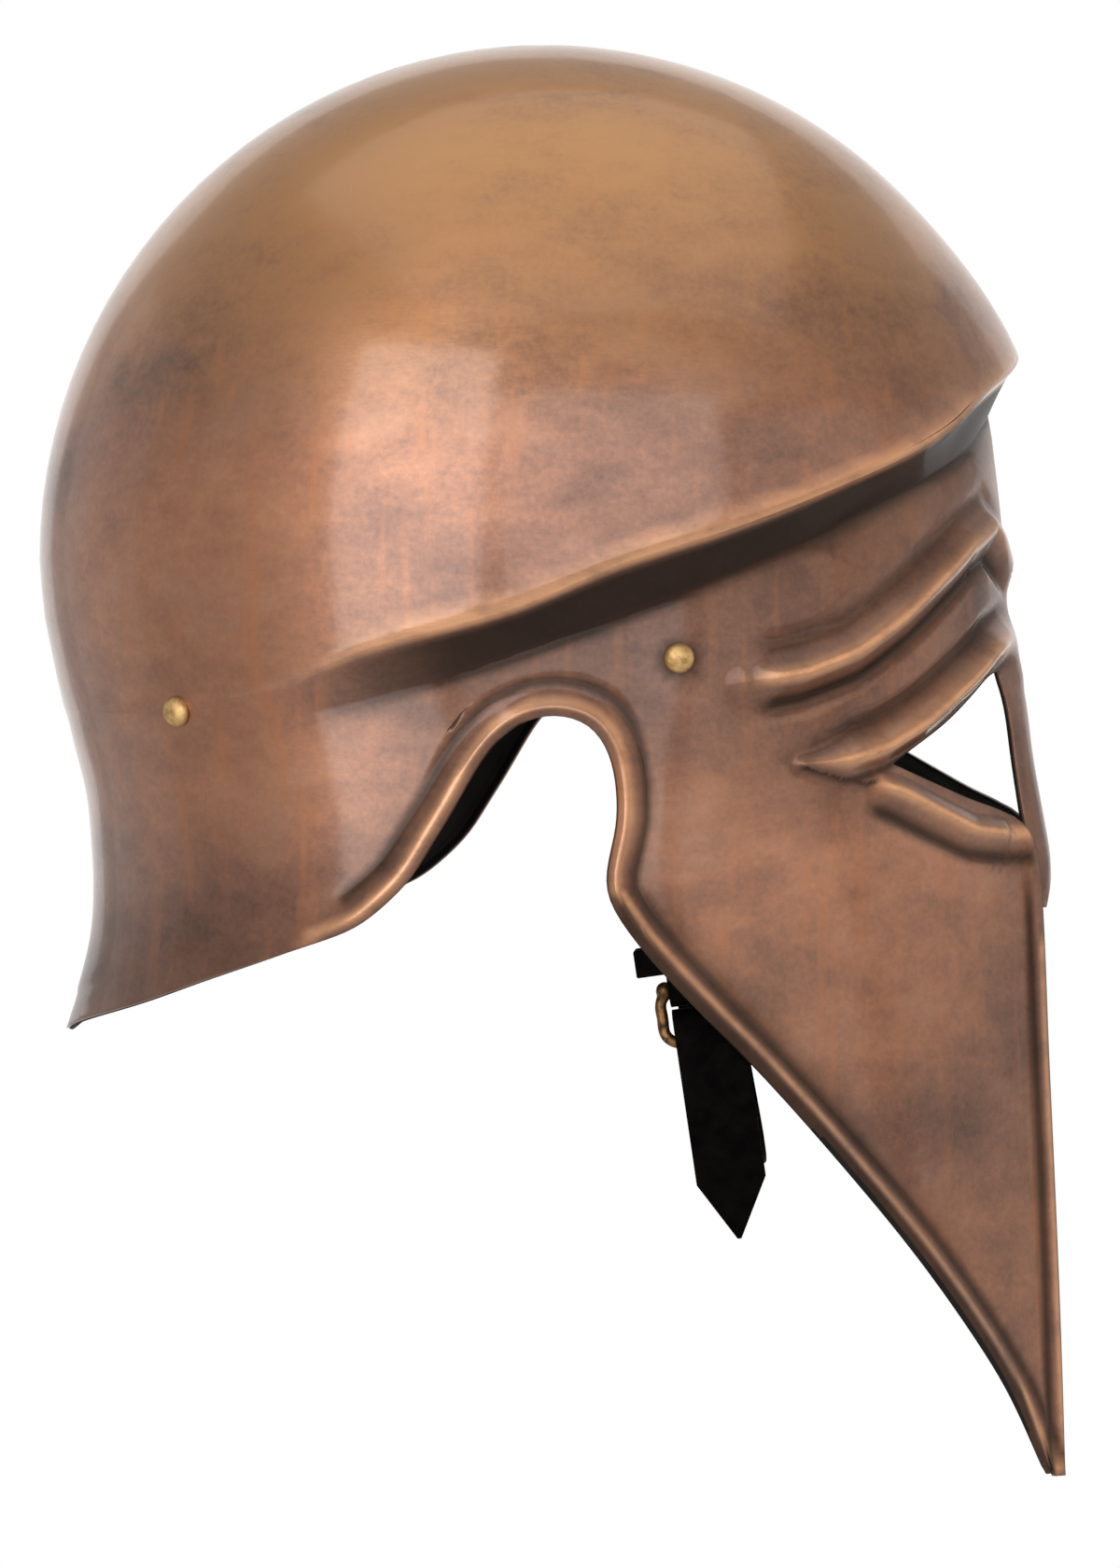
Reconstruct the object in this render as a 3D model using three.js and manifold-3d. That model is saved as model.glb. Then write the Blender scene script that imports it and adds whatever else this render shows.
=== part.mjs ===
// Italo-Corinthian helmet: one raised metal sheet with ridges, rolled rims and a nasal,
// four dome rivets, and a buckled leather chin strap.
// Millimetres, +Z up. The face looks along -Y and the wearer's right side is at -X.
// The origin is the inner side of the crown, where the helmet sits on a head.

import * as THREE from "three";
import { mergeVertices } from "three/addons/utils/BufferGeometryUtils.js";
import Module from "manifold-3d";

const wasm = await Module();
wasm.setup();

// Driving dimensions
const SKULL_LENGTH = 270;
const SKULL_WIDTH = 212;
const HELMET_HEIGHT = 383;
const DOME_RISE = 136.75; // crown down to the widest level
const WALL = 1.5;
const SLIT = 26; // open width between the cheek pieces
const PEAK_REACH = 2.4; // the skull's point over the brow
const BROW_RIDGE = 3.4;
const BROW_RIDGE_HALF = 7.2;
const LID_RIDGE = 3.6;
const LID_RIDGE_HALF = 6;
const LOWER_LID_RIDGE = 2.4;
const LOWER_LID_RIDGE_HALF = 4.6;
const RIM_BEAD = 2.6;
const FRONT_BORDER = 0.9;
const RIM_BAND = 10.4; // width of the worked strip along every free edge
const NASAL_ROUND = 0.2; // share of the nasal's length that its rounded tip takes
const NASAL_HALF_TOP = 14.5;
const NASAL_HALF_LOW = 12.5;
const NASAL_KEEL = 4.2;
const ROOT_KEEL = 1.6; // where the nasal leaves the brow

const RIVET_HEAD = 8; // diameter
const RIVET_RISE = 2.9;
const RIVET_SHANK = 4;
const RIVET_TAIL = 8;
const RIVET_TAIL_THICK = 1.1;
const GAP = 0.3; // between pieces that touch

const STRAP_WIDTH = 17.8;
const STRAP_THICK = 2.2;
const STRAP_POINT = 15; // length of the pointed end
const STRAP_LEAN = 8.4; // degrees, the lower end forwards
const FREE_END = 51.7; // from the buckle's lower bar to the tip
const CHIN_DROP = 0.768; // the lowest level of the loop
const UNDER_LEAN = 5.6; // how far forward the loop runs under the chin
const FOLD_BACK = 20;
const KEEPER_WIDTH = 27;
const KEEPER_HEIGHT = 7;
const KEEPER_THICK = 1.5;
const KEEPER_ROOM = 1.2; // between the loop and the leather in it
const KEEPER_RISE = 5; // above the buckle's upper bar
const BUCKLE_WIRE = 2.8;
const BUCKLE_HEIGHT = 13; // between the middles of its bars
const BUCKLE_SIDE = 1.2; // between the strap and the frame's legs
const BUCKLE_CORNER = 2.4;
const BUCKLE_KNOB = 4.2;
const PRONG_WIRE = 1.8;
const BUCKLE_INSET = 11.5; // from the sheet's outer side to the buckle's middle

// Shares and angles hold for the half at -X. A turn is in degrees from the front (0) to the back (180).
// A drop is a share of the helmet's height, from the outer crown down.
const HALF = SKULL_WIDTH / 2;
const REACH = SKULL_LENGTH / 2;
const RISE_SHARE = DOME_RISE / HELMET_HEIGHT;
const PROW_TURN = 60; // where the wedge of the face ends
const FACE_TO_NAPE = [85, 122]; // turns between which the face runs into the nape

// drop, width (share of the half width), reach (share of the half length)
const NAPE = [
  [0.357, 1.0, 0.998],
  [0.39, 0.995, 0.993],
  [0.422, 0.985, 0.976],
  [0.455, 0.965, 0.956],
  [0.488, 0.945, 0.931],
  [0.52, 0.928, 0.909],
  [0.553, 0.918, 0.9],
  [0.585, 0.915, 0.896],
  [0.618, 0.922, 0.902],
  [0.651, 0.94, 0.924],
  [0.689, 0.965, 0.959],
];
// drop, width, reach, prow (the wedge added at the front, share of the half length)
const FACE = [
  [0.2, 0.86, 0.8, 0.06],
  [0.251, 0.889, 0.816, 0.06],
  [0.321, 0.929, 0.84, 0.06],
  [0.357, 0.934, 0.849, 0.06],
  [0.406, 0.929, 0.85, 0.07],
  [0.433, 0.925, 0.838, 0.095],
  [0.47, 0.918, 0.805, 0.165],
  [0.52, 0.91, 0.77, 0.25],
  [0.544, 0.905, 0.762, 0.275],
  [0.585, 0.896, 0.77, 0.29],
  [0.683, 0.868, 0.781, 0.295],
  [0.814, 0.83, 0.8, 0.3],
  [0.945, 0.792, 0.817, 0.305],
  [1.0, 0.774, 0.825, 0.305],
];
// Lines across the sheet: turn, drop
const CREST = [
  [0, 0.2122], [10, 0.2245], [22.6, 0.2417], [34.9, 0.2695], [51.2, 0.3012], [66, 0.3311],
  [78.4, 0.3541], [90.3, 0.384], [105.8, 0.4096], [120, 0.438], [140, 0.455], [180, 0.46],
];
const CREASE = [
  [0, 0.2507], [4, 0.2615], [9.1, 0.271], [19.3, 0.2875], [38.1, 0.3171], [59.6, 0.3559],
  [77.8, 0.3911], [90.6, 0.4155], [109.5, 0.4469], [119.9, 0.4639], [140, 0.478], [180, 0.485],
];
const BROW_LINE = [
  [0, 0.3585], [5, 0.3455], [10.5, 0.3335], [18.7, 0.3452], [27.6, 0.3677], [35.8, 0.3922],
  [43.7, 0.4142], [51.7, 0.427], [59.7, 0.4332],
];
const LID_LINE = [
  [0, 0.41], [6, 0.4105], [12.2, 0.4178], [22.8, 0.4432], [30.1, 0.464], [36.3, 0.4787], [42.2, 0.486],
  [48.5, 0.4889],
];
const LOWER_LID_LINE = [
  [36.5, 0.5035], [31.7, 0.512], [25.8, 0.5253], [19.4, 0.539], [13.5, 0.5432], [8, 0.5445],
];
// Free edges: turn, drop
const EYE_TOP = [
  [8.7, 0.4325], [10.6, 0.4303], [13.5, 0.4362], [18.3, 0.4488], [24.1, 0.4662], [29.7, 0.4798],
  [33.8, 0.492],
];
const EYE_LOW = [
  [33.8, 0.492], [29.3, 0.5004], [25.3, 0.5072], [19.2, 0.5193], [11.6, 0.5295], [8.8, 0.536],
  [8, 0.5441],
];
const NECK_EDGE = [[180, 0.689], [144.8, 0.6558], [132.7, 0.6363], [121.1, 0.618], [115.5, 0.6076]];
const EAR_EDGE = [
  [115.5, 0.6076], [110.1, 0.596], [106.9, 0.5802], [104.4, 0.5673], [101.3, 0.5398], [97.9, 0.5124],
  [94.7, 0.4833], [91.5, 0.4642], [87.6, 0.4544], [85.1, 0.4535], [82.6, 0.4556], [80.7, 0.4599],
  [79.4, 0.4661], [78, 0.4772], [77.3, 0.4889], [76.6, 0.505],
];
const EAR_FRONT = [[76.6, 0.505], [76.3, 0.525], [76.9, 0.5395], [77.9, 0.5558], [78.2, 0.576]];
const CHEEK_REAR = [
  [78.2, 0.576], [74, 0.6054], [69.3, 0.6311], [63.1, 0.6614], [57, 0.6894], [49.4, 0.729],
  [43.5, 0.7624], [37.7, 0.7961], [32.2, 0.8303], [27.1, 0.8646], [22.3, 0.8992], [17.9, 0.9338],
  [14.8, 0.968], [12.6, 0.9915],
];
// The cheek's front edge runs down the slit through these drops to its tip
const FRONT_DROPS = [0.5441, 0.585, 0.65, 0.72, 0.8, 0.87, 0.94, 0.9985];
// The nasal's front line: drop, reach (share of the half length)
const NASAL_LINE = [
  [0.4325, 0.949], [0.45, 0.956], [0.468, 0.958], [0.5, 0.972], [0.531, 0.989], [0.566, 1.007],
  [0.5836, 1.0165], [0.592, 1.013], [0.5985, 0.995],
];
const NASAL_ROOT_DROP = NASAL_LINE[0][0];
const NASAL_TIP_DROP = NASAL_LINE.at(-1)[0];
// How high the worked strip stands at a share of its width: share, bead, front border
const RIM_SECTION = [
  [0, 0.35, 0.7],
  [0.23, 1, 1],
  [0.46, 0.5, 0.5],
  [0.7, -0.1, -0.3],
  [1, 0, 0],
];

// Copies of each named size along and across the sheet
const ROOT_STEPS = 3;
const EYE_TOP_STEPS = 6;
const CORNER_STEPS = 4;
const EYE_LOW_STEPS = 5;
const FRONT_STEPS = 10;
const NECK_STEPS = 7;
const EAR_STEPS = 12;
const EAR_FRONT_STEPS = 3;
const REAR_STEPS = CORNER_STEPS / 2 + EYE_LOW_STEPS + FRONT_STEPS - EAR_FRONT_STEPS;
const TEMPLE_STEPS = 5;
const DOME_STEPS = 8;
const NASAL_STEPS = 6;
const BAND_STEPS = 5; // rows from the skull's crease to the edge strips
const STEP_SHARES = [0.2, 0.6, 1];
// Turns at the skull's ridge where the columns of each stretch begin
const COLUMN_TURNS = { eye: 8.7, corner: 34, temple: 42, ear: 73, neck: 118, nape: 180 };

const { clamp, degToRad, lerp, radToDeg } = THREE.MathUtils;
const smooth = (from, to, x) => {
  const t = clamp((x - from) / (to - from), 0, 1);
  return t * t * (3 - 2 * t);
};

// A column of a table at a place between its rows, on a smooth curve through them.
function read(table, at, column = 1) {
  const last = table.length - 1;
  let i = 0;
  while (i < last - 1 && at > table[i + 1][0]) i++;
  const slope = (k) => {
    const a = table[Math.max(0, k - 1)];
    const b = table[Math.min(last, k + 1)];
    return (b[column] - a[column]) / (b[0] - a[0]);
  };
  const [p, q] = [table[i], table[i + 1]];
  const span = q[0] - p[0];
  const t = clamp((at - p[0]) / span, 0, 1);
  const [t2, t3] = [t * t, t * t * t];
  return (
    p[column] * (2 * t3 - 3 * t2 + 1) +
    slope(i) * span * (t3 - 2 * t2 + t) +
    q[column] * (3 * t2 - 2 * t3) +
    slope(i + 1) * span * (t3 - t2)
  );
}

const heightOf = (drop) => WALL - drop * HELMET_HEIGHT;

// The smooth skull and nape, without the ridge.
function skullAt(turn, drop) {
  const down = drop / RISE_SHARE;
  const round = Math.sqrt(Math.max(0, 1 - (1 - down) ** 2));
  const wide = down < 1 ? round : read(NAPE, drop, 1);
  const deep = down < 1 ? round : read(NAPE, drop, 2);
  const peak = PEAK_REACH * (1 - smooth(0, 26, turn)) * smooth(0.1, 0.2122, drop);
  const [s, c] = [Math.sin(degToRad(turn)), Math.cos(degToRad(turn))];
  return new THREE.Vector3(-HALF * wide * s, -(REACH * deep + peak) * c, heightOf(drop));
}

// The sheet below the ridge: a wedge-shaped face that runs into the nape.
function sheetAt(turn, drop) {
  const [s, c] = [Math.sin(degToRad(turn)), Math.cos(degToRad(turn))];
  const prow = Math.max(0, 1 - Math.abs(turn) / PROW_TURN) ** 2;
  const deep = REACH * (read(FACE, drop, 2) * c + read(FACE, drop, 3) * prow);
  const face = new THREE.Vector3(-HALF * read(FACE, drop, 1) * s, -deep, heightOf(drop));
  return face.lerp(skullAt(turn, drop), smooth(...FACE_TO_NAPE, turn));
}

// Girth in millimetres for a degree of turn, and the flat pattern of the sheet.
const GIRTH = degToRad(1) * 0.9 * ((HALF + REACH) / 2);
const flat = ([turn, drop]) => new THREE.Vector2(turn * GIRTH, drop * HELMET_HEIGHT);
const unflat = (p) => [p.x / GIRTH, p.y / HELMET_HEIGHT];

function distanceTo(line, turn, drop) {
  const p = flat([turn, drop]);
  let best = Infinity;
  for (let i = 0; i + 1 < line.length; i++) {
    const a = flat(line[i]);
    const along = flat(line[i + 1]).sub(a);
    const t = clamp(p.clone().sub(a).dot(along) / along.lengthSq(), 0, 1);
    best = Math.min(best, a.addScaledVector(along, t).distanceTo(p));
  }
  return best;
}

const ridge = (distance, height, half) =>
  height * Math.cos((Math.PI / 2) * Math.min(1, distance / half)) ** 2;

// Height of the raised ridges over the plain sheet.
function reliefAt(turn, drop) {
  const aside = smooth(0, 9, turn); // the two brows meet in a lower, wider fold
  const brow = ridge(
    distanceTo(BROW_LINE, turn, drop),
    BROW_RIDGE * lerp(0.72, 1, aside),
    BROW_RIDGE_HALF * lerp(1.35, 1, aside),
  );
  const tail = smooth(-3, 12, turn) - 0.75 * smooth(36, 48.5, turn);
  const lid = ridge(distanceTo(LID_LINE, turn, drop), LID_RIDGE * tail, LID_RIDGE_HALF);
  const lower = ridge(distanceTo(LOWER_LID_LINE, turn, drop), LOWER_LID_RIDGE, LOWER_LID_RIDGE_HALF);
  const keel = ROOT_KEEL * (1 - smooth(0, 9, turn)) * smooth(0.385, 0.425, drop);
  return Math.max(brow, lid, lower * (drop > 0.49 ? 1 : 0)) + keel;
}

// A point of the outer side, lifted off the plain sheet.
function place(turn, drop, lift = 0) {
  const step = 0.25;
  const here = sheetAt(turn, drop);
  const round = sheetAt(turn + step, drop).sub(sheetAt(turn - step, drop));
  const down = sheetAt(turn, drop + step / 100).sub(sheetAt(turn, drop - step / 100));
  const out = round.cross(down).normalize();
  return here.addScaledVector(out, reliefAt(turn, drop) + lift);
}

function placeNasal(share, drop) {
  const t = (drop - NASAL_ROOT_DROP) / (NASAL_TIP_DROP - NASAL_ROOT_DROP);
  const round = Math.sqrt(Math.max(0, 1 - Math.max(0, 1 + (t - 1) / NASAL_ROUND) ** 2.4));
  const half = lerp(NASAL_HALF_TOP, NASAL_HALF_LOW, smooth(0, 0.25, t)) * (0.3 + 0.7 * round);
  const front = REACH * read(NASAL_LINE, drop);
  const sag = NASAL_KEEL * share ** 1.6 * (1 + 0.5 * t);
  const own = new THREE.Vector3(-half * share, -(front - sag), heightOf(drop));
  return place(COLUMN_TURNS.eye * share, drop).lerp(own, smooth(0, 0.22, t));
}

// Even stations along an edge line, as points of the flat pattern.
function stations(line, steps) {
  const points = line.map((p) => new THREE.Vector3(flat(p).x, flat(p).y, 0));
  const curve = new THREE.CatmullRomCurve3(points, false, "centripetal");
  return curve.getSpacedPoints(steps).map((p) => new THREE.Vector2(p.x, p.y));
}

function frontLine() {
  return FRONT_DROPS.map((drop) => [radToDeg(Math.asin(SLIT / 2 / (HALF * read(FACE, drop)))), drop]);
}

// One run of free edge: each station with its inward direction and how much bead and border it carries.
function edgeRun(stretches, side) {
  const run = [];
  for (const { line, steps, bead = 0, border = 0, fan } of stretches) {
    const points = fan ? Array(steps + 1).fill(flat(line.at(-1))) : stations(line, steps);
    points.forEach((at, i) => {
      if (run.length && i === 0) return;
      run.push({ at, bead, border, fan: Boolean(fan) && i < steps });
    });
  }
  const inward = (a, b) => new THREE.Vector2(b.y - a.y, a.x - b.x).normalize().multiplyScalar(side);
  run.forEach((station, i) => {
    const before = run.slice(0, i).findLast((s) => s.at.distanceTo(station.at) > GAP);
    const after = run.slice(i + 1).find((s) => s.at.distanceTo(station.at) > GAP);
    const a = before ? inward(before.at, station.at) : inward(station.at, after.at);
    const b = after ? inward(station.at, after.at) : a;
    station.sides = [a, b];
    const mean = a.clone().add(b).normalize();
    station.inward = mean.divideScalar(Math.max(0.62, mean.dot(a)));
  });
  const turned = run.filter((s) => s.at.distanceTo(flat(EYE_TOP.at(-1))) < GAP);
  turned.forEach((station, i) => {
    const [a, b] = station.sides;
    const share = i / (turned.length - 1);
    const from = a.angle() > Math.PI ? a.angle() - 2 * Math.PI : a.angle();
    const angle = lerp(from, b.angle(), share);
    station.inward = new THREE.Vector2(Math.cos(angle), Math.sin(angle));
  });
  return run.map((s, i) => {
    const near = [run[Math.max(0, i - 1)], s, run[Math.min(run.length - 1, i + 1)]];
    const mean = (key) => (near[0][key] + 2 * near[1][key] + near[2][key]) / 4;
    return { ...s, bead: mean("bead"), border: mean("border"), width: RIM_BAND };
  });
}

const rimShares = RIM_SECTION.map(([share]) => share);
const rimPoint = (s, share) => s.at.clone().addScaledVector(s.inward, s.width * share);
const rimLift = (s, row) => {
  const [, bead, border] = RIM_SECTION[row];
  return Math.sqrt(s.width / RIM_BAND) * (RIM_BEAD * s.bead * bead + FRONT_BORDER * s.border * border);
};

// All the patches of the outer half, as rows of points from top to bottom and front to back.
function halfPatches() {
  const frontRun = edgeRun(
    [
      { line: [[0, NASAL_ROOT_DROP], EYE_TOP[0]], steps: ROOT_STEPS },
      { line: EYE_TOP, steps: EYE_TOP_STEPS },
      { line: EYE_TOP, steps: CORNER_STEPS, fan: true },
      { line: EYE_LOW, steps: EYE_LOW_STEPS },
      { line: frontLine(), steps: FRONT_STEPS, border: 1 },
    ],
    1,
  );
  const rearRun = edgeRun(
    [
      { line: NECK_EDGE, steps: NECK_STEPS },
      { line: EAR_EDGE, steps: EAR_STEPS, bead: 1 },
      { line: EAR_FRONT, steps: EAR_FRONT_STEPS, bead: 1 },
      { line: CHEEK_REAR, steps: REAR_STEPS, bead: 1 },
    ],
    -1,
  );
  frontRun[0].inward.set(0, -1);
  rearRun[0].inward.set(0, -1);
  const frontSplit = ROOT_STEPS + EYE_TOP_STEPS + CORNER_STEPS / 2;
  const rearSplit = NECK_STEPS + EAR_STEPS;
  frontRun.slice(frontSplit).forEach((s, i) => {
    const other = rearRun[rearSplit + i];
    s.width = other.width = Math.min(RIM_BAND, 0.42 * s.at.distanceTo(other.at));
  });
  const rim = (run) =>
    rimShares.map((share, row) => run.map((s) => place(...unflat(rimPoint(s, share)), rimLift(s, row))));

  const innerOf = (s) => unflat(rimPoint(s, 1));
  const bridge = (a, b, steps) =>
    Array.from({ length: steps + 1 }, (_, k) => a.map((v, n) => lerp(v, b[n], k / steps)));
  const temple = bridge(innerOf(frontRun[frontSplit]), innerOf(rearRun[rearSplit]), TEMPLE_STEPS);

  // Columns from the crown to the lower line of the upper part
  const feet = [
    ...frontRun.slice(0, frontSplit).map(innerOf),
    ...temple,
    ...rearRun.slice(0, rearSplit).reverse().map(innerOf),
  ];
  const spread = (from, to, steps) =>
    Array.from({ length: steps }, (_, k) => lerp(from, to, (k + 1) / steps));
  const t = COLUMN_TURNS;
  const turns = [
    0,
    ...spread(0, t.eye, ROOT_STEPS),
    ...spread(t.eye, t.corner, EYE_TOP_STEPS),
    ...spread(t.corner, t.temple, CORNER_STEPS / 2),
    ...spread(t.temple, t.ear, TEMPLE_STEPS),
    ...spread(t.ear, t.neck, EAR_STEPS),
    ...spread(t.neck, t.nape, NECK_STEPS),
  ];
  const columns = turns.map((turn, j) => {
    const crest = read(CREST, turn);
    const crease = read(CREASE, turn);
    const [footTurn, footDrop] = feet[j];
    const points = [];
    for (let i = 0; i <= DOME_STEPS; i++) {
      const reach = crest / RISE_SHARE;
      const full = reach < 1 ? Math.acos(1 - reach) : Math.PI / 2 + reach - 1;
      const rise = (full * i) / DOME_STEPS;
      const down = rise < Math.PI / 2 ? 1 - Math.cos(rise) : 1 + rise - Math.PI / 2;
      points.push(skullAt(turn, RISE_SHARE * down));
    }
    for (const share of STEP_SHARES) {
      const edge = skullAt(turn, crest);
      const foot = place(turn, crease);
      points.push(edge.lerp(foot, share).setZ(lerp(heightOf(crest), heightOf(crease), share ** 0.85)));
    }
    // The brow ridge keeps rows of its own, which spread evenly behind it
    const even = spread(0, 1, BAND_STEPS);
    const brow = read(BROW_LINE, turn);
    const half = BROW_RIDGE_HALF / HELMET_HEIGHT;
    const own = [-1, 0, 1].map((k) => (brow + k * half - crease) / (footDrop - crease));
    const ridged = [own[0], own[1], own[2], (1 + own[2]) / 2, 1];
    const behind = smooth(52, 72, turn);
    ridged.forEach((share, k) => {
      const at = lerp(share, even[k], behind);
      points.push(place(lerp(turn, footTurn, at), lerp(crease, footDrop, at)));
    });
    return points;
  });
  const upper = columns[0].map((_, i) => columns.map((c) => c[i]));

  const cheekRows = frontRun.slice(frontSplit).map((s, i) =>
    bridge(innerOf(s), innerOf(rearRun[rearSplit + i]), TEMPLE_STEPS).map((p) => place(...p)),
  );
  const nasal = Array.from({ length: NASAL_STEPS + 1 }, (_, i) =>
    Array.from({ length: ROOT_STEPS + 1 }, (_, k) =>
      placeNasal(k / ROOT_STEPS, lerp(NASAL_ROOT_DROP, NASAL_TIP_DROP, i / NASAL_STEPS)),
    ),
  );
  const rearRim = rim(rearRun).map((row) => row.reverse());
  return [upper, cheekRows, nasal, rim(frontRun).reverse(), rearRim.reverse()];
}

// Triangles of a patch and of its mirror image, facing outwards.
function addPatch(out, rows) {
  const flip = (p) => new THREE.Vector3(-p.x, p.y, p.z);
  for (let i = 0; i + 1 < rows.length; i++)
    for (let j = 0; j + 1 < rows[i].length; j++) {
      const [a, b, c, d] = [rows[i][j], rows[i][j + 1], rows[i + 1][j + 1], rows[i + 1][j]];
      const cut = a.distanceTo(c) < b.distanceTo(d) ? [a, b, c, a, c, d] : [a, b, d, b, c, d];
      for (let k = 0; k < 6; k += 3) {
        out.push(cut[k], cut[k + 1], cut[k + 2]);
        out.push(flip(cut[k]), flip(cut[k + 2]), flip(cut[k + 1]));
      }
    }
}

// A closed sheet: the outer side, the same side moved in by the wall, and a strip along each free edge.
function thicken(triangles, wall) {
  const loose = new THREE.BufferGeometry().setFromPoints(triangles);
  const merged = mergeVertices(loose, 1e-2);
  const found = Array.from(merged.index.array);
  const faces = [];
  for (let i = 0; i < found.length; i += 3) {
    const f = found.slice(i, i + 3);
    if (new Set(f).size === 3) faces.push(f);
  }
  const outer = merged.attributes.position;
  merged.setIndex(faces.flat());
  merged.computeVertexNormals();
  const normal = merged.attributes.normal;
  const count = outer.count;
  const points = [];
  for (let i = 0; i < count; i++) points.push(new THREE.Vector3().fromBufferAttribute(outer, i));
  for (let i = 0; i < count; i++) {
    const out = new THREE.Vector3().fromBufferAttribute(normal, i);
    points.push(points[i].clone().addScaledVector(out, -wall));
  }
  const edges = new Map();
  for (const [a, b, c] of faces)
    for (const [p, q] of [[a, b], [b, c], [c, a]]) edges.set(p + "," + q, [p, q]);
  const index = faces.flatMap(([a, b, c]) => [a, b, c, a + count, c + count, b + count]);
  for (const [p, q] of edges.values()) {
    if (!edges.has(q + "," + p)) index.push(p, p + count, q, q, p + count, q + count);
  }
  return new THREE.BufferGeometry().setFromPoints(points).setIndex(index);
}

// Closed geometry to a solid and back, for the cuts.
function solidOf(geometry) {
  const bare = geometry.clone();
  bare.deleteAttribute("normal");
  bare.deleteAttribute("uv");
  const merged = mergeVertices(bare, 1e-4);
  const triVerts = new Uint32Array(merged.index.array);
  const vertProperties = merged.attributes.position.array;
  return new wasm.Manifold(new wasm.Mesh({ numProp: 3, vertProperties, triVerts }));
}

function geometryOf(solid) {
  const mesh = solid.getMesh();
  return new THREE.BufferGeometry()
    .setAttribute("position", new THREE.BufferAttribute(mesh.vertProperties, 3))
    .setIndex(new THREE.BufferAttribute(mesh.triVerts, 1));
}

const finish = (color, roughness, metalness) =>
  new THREE.MeshStandardMaterial({ color, roughness, metalness });
const bronze = finish("#8a6048", 0.34, 1);
const brass = finish("#b08a4a", 0.36, 1);
const oldBrass = finish("#6a5030", 0.4, 1);
const leather = finish("#161413", 0.62, 0);

const helmet = new THREE.Group();
function add(name, geometry, material) {
  geometry.computeVertexNormals();
  const mesh = new THREE.Mesh(geometry, material);
  mesh.name = name;
  helmet.add(mesh);
}

const triangles = [];
halfPatches().forEach((rows) => addPatch(triangles, rows));
const sheet = new THREE.Mesh(thicken(triangles, WALL));
let shell = solidOf(sheet.geometry);

// A place on the sheet's faces, on either side, and the way out of it
function spot(turn, drop, side) {
  const at = place(turn, drop);
  const mid = new THREE.Vector3(0, 0, at.z);
  const from = at.clone().sub(mid).multiplyScalar(2).add(mid);
  const aim = new THREE.Raycaster(from, mid.clone().sub(at).normalize());
  const [hit] = aim.intersectObject(sheet);
  const mirror = new THREE.Vector3(side === "right" ? 1 : -1, 1, 1);
  return { at: hit.point.multiply(mirror), out: hit.face.normal.clone().multiply(mirror) };
}

// A rivet along +Y: a domed head, a shank and a flat tail, with what it clamps between them.
function rivet(clamped) {
  const [head, shank, tail] = [RIVET_HEAD / 2, RIVET_SHANK / 2, RIVET_TAIL / 2];
  const profile = [];
  const arcs = 5;
  for (let i = 0; i <= arcs; i++) {
    const angle = (Math.PI / 2) * (1 - i / arcs);
    profile.push([head * Math.cos(angle), GAP + RIVET_RISE * (0.15 + 0.85 * Math.sin(angle))]);
  }
  const low = -clamped - GAP;
  const foot = low - RIVET_TAIL_THICK;
  profile.push([head, GAP], [shank, GAP], [shank, low], [tail, low], [tail, foot], [0, foot]);
  const points = profile.reverse().map(([r, y]) => new THREE.Vector2(r < 1e-6 ? 0 : r, y));
  return new THREE.LatheGeometry(points, 16);
}

// Turns what stands along +Y to stand at a place, along the way out of it
function standing({ at, out }) {
  const turned = new THREE.Quaternion().setFromUnitVectors(new THREE.Vector3(0, 1, 0), out);
  return new THREE.Matrix4().makeRotationFromQuaternion(turned).setPosition(at);
}

function shankHole(place) {
  const radius = RIVET_SHANK / 2 + GAP;
  const through = 2 * (WALL + GAP + STRAP_BOW + STRAP_THICK);
  const hole = new THREE.CylinderGeometry(radius, radius, through + RIVET_RISE, 16);
  return solidOf(hole.translate(0, RIVET_RISE / 2 - through / 2, 0).applyMatrix4(standing(place)));
}

const CORNERS = [[1, 1], [-1, 1], [-1, -1], [1, -1]];

// A flat strap: a closed band through points, with its width along a given direction at each.
function band(points, across, thick, widthAt) {
  const corners = [];
  points.forEach((at, i) => {
    const next = points[Math.min(points.length - 1, i + 1)];
    const way = next.clone().sub(points[Math.max(0, i - 1)]).normalize();
    const wide = across[i].clone().addScaledVector(way, -across[i].dot(way)).normalize();
    const out = way.clone().cross(wide).normalize();
    const half = widthAt(i) / 2;
    for (const [w, o] of CORNERS)
      corners.push(at.clone().addScaledVector(wide, w * half).addScaledVector(out, (o * thick) / 2));
  });
  const index = [0, 2, 1, 0, 3, 2];
  for (let i = 0; i + 1 < points.length; i++)
    for (let k = 0; k < 4; k++) {
      const [a, b] = [4 * i + k, 4 * i + ((k + 1) % 4)];
      index.push(a, b, b + 4, a, b + 4, a + 4);
    }
  const e = 4 * (points.length - 1);
  index.push(e, e + 1, e + 2, e, e + 2, e + 3);
  return new THREE.BufferGeometry().setFromPoints(corners).setIndex(index);
}

// The buckle hangs on the wearer's right, inside the cheek piece, and leans forwards with the strap.
const RIVETS = { front: [69.5, 0.4179], rear: [133.9, 0.4557] };
const BUCKLE_SPOT = [64.2, 0.6395];
const lean = degToRad(STRAP_LEAN);
const down = new THREE.Vector3(0, -Math.sin(lean), -Math.cos(lean));
const across = new THREE.Vector3(0, -Math.cos(lean), Math.sin(lean));
const outward = new THREE.Vector3(-1, 0, 0);
const buckleBase = sheetAt(...BUCKLE_SPOT).addScaledVector(outward, -BUCKLE_INSET);
const hung = (out, low, wide = 0) =>
  buckleBase.clone().addScaledVector(outward, out).addScaledVector(down, low).addScaledVector(across, wide);

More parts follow.
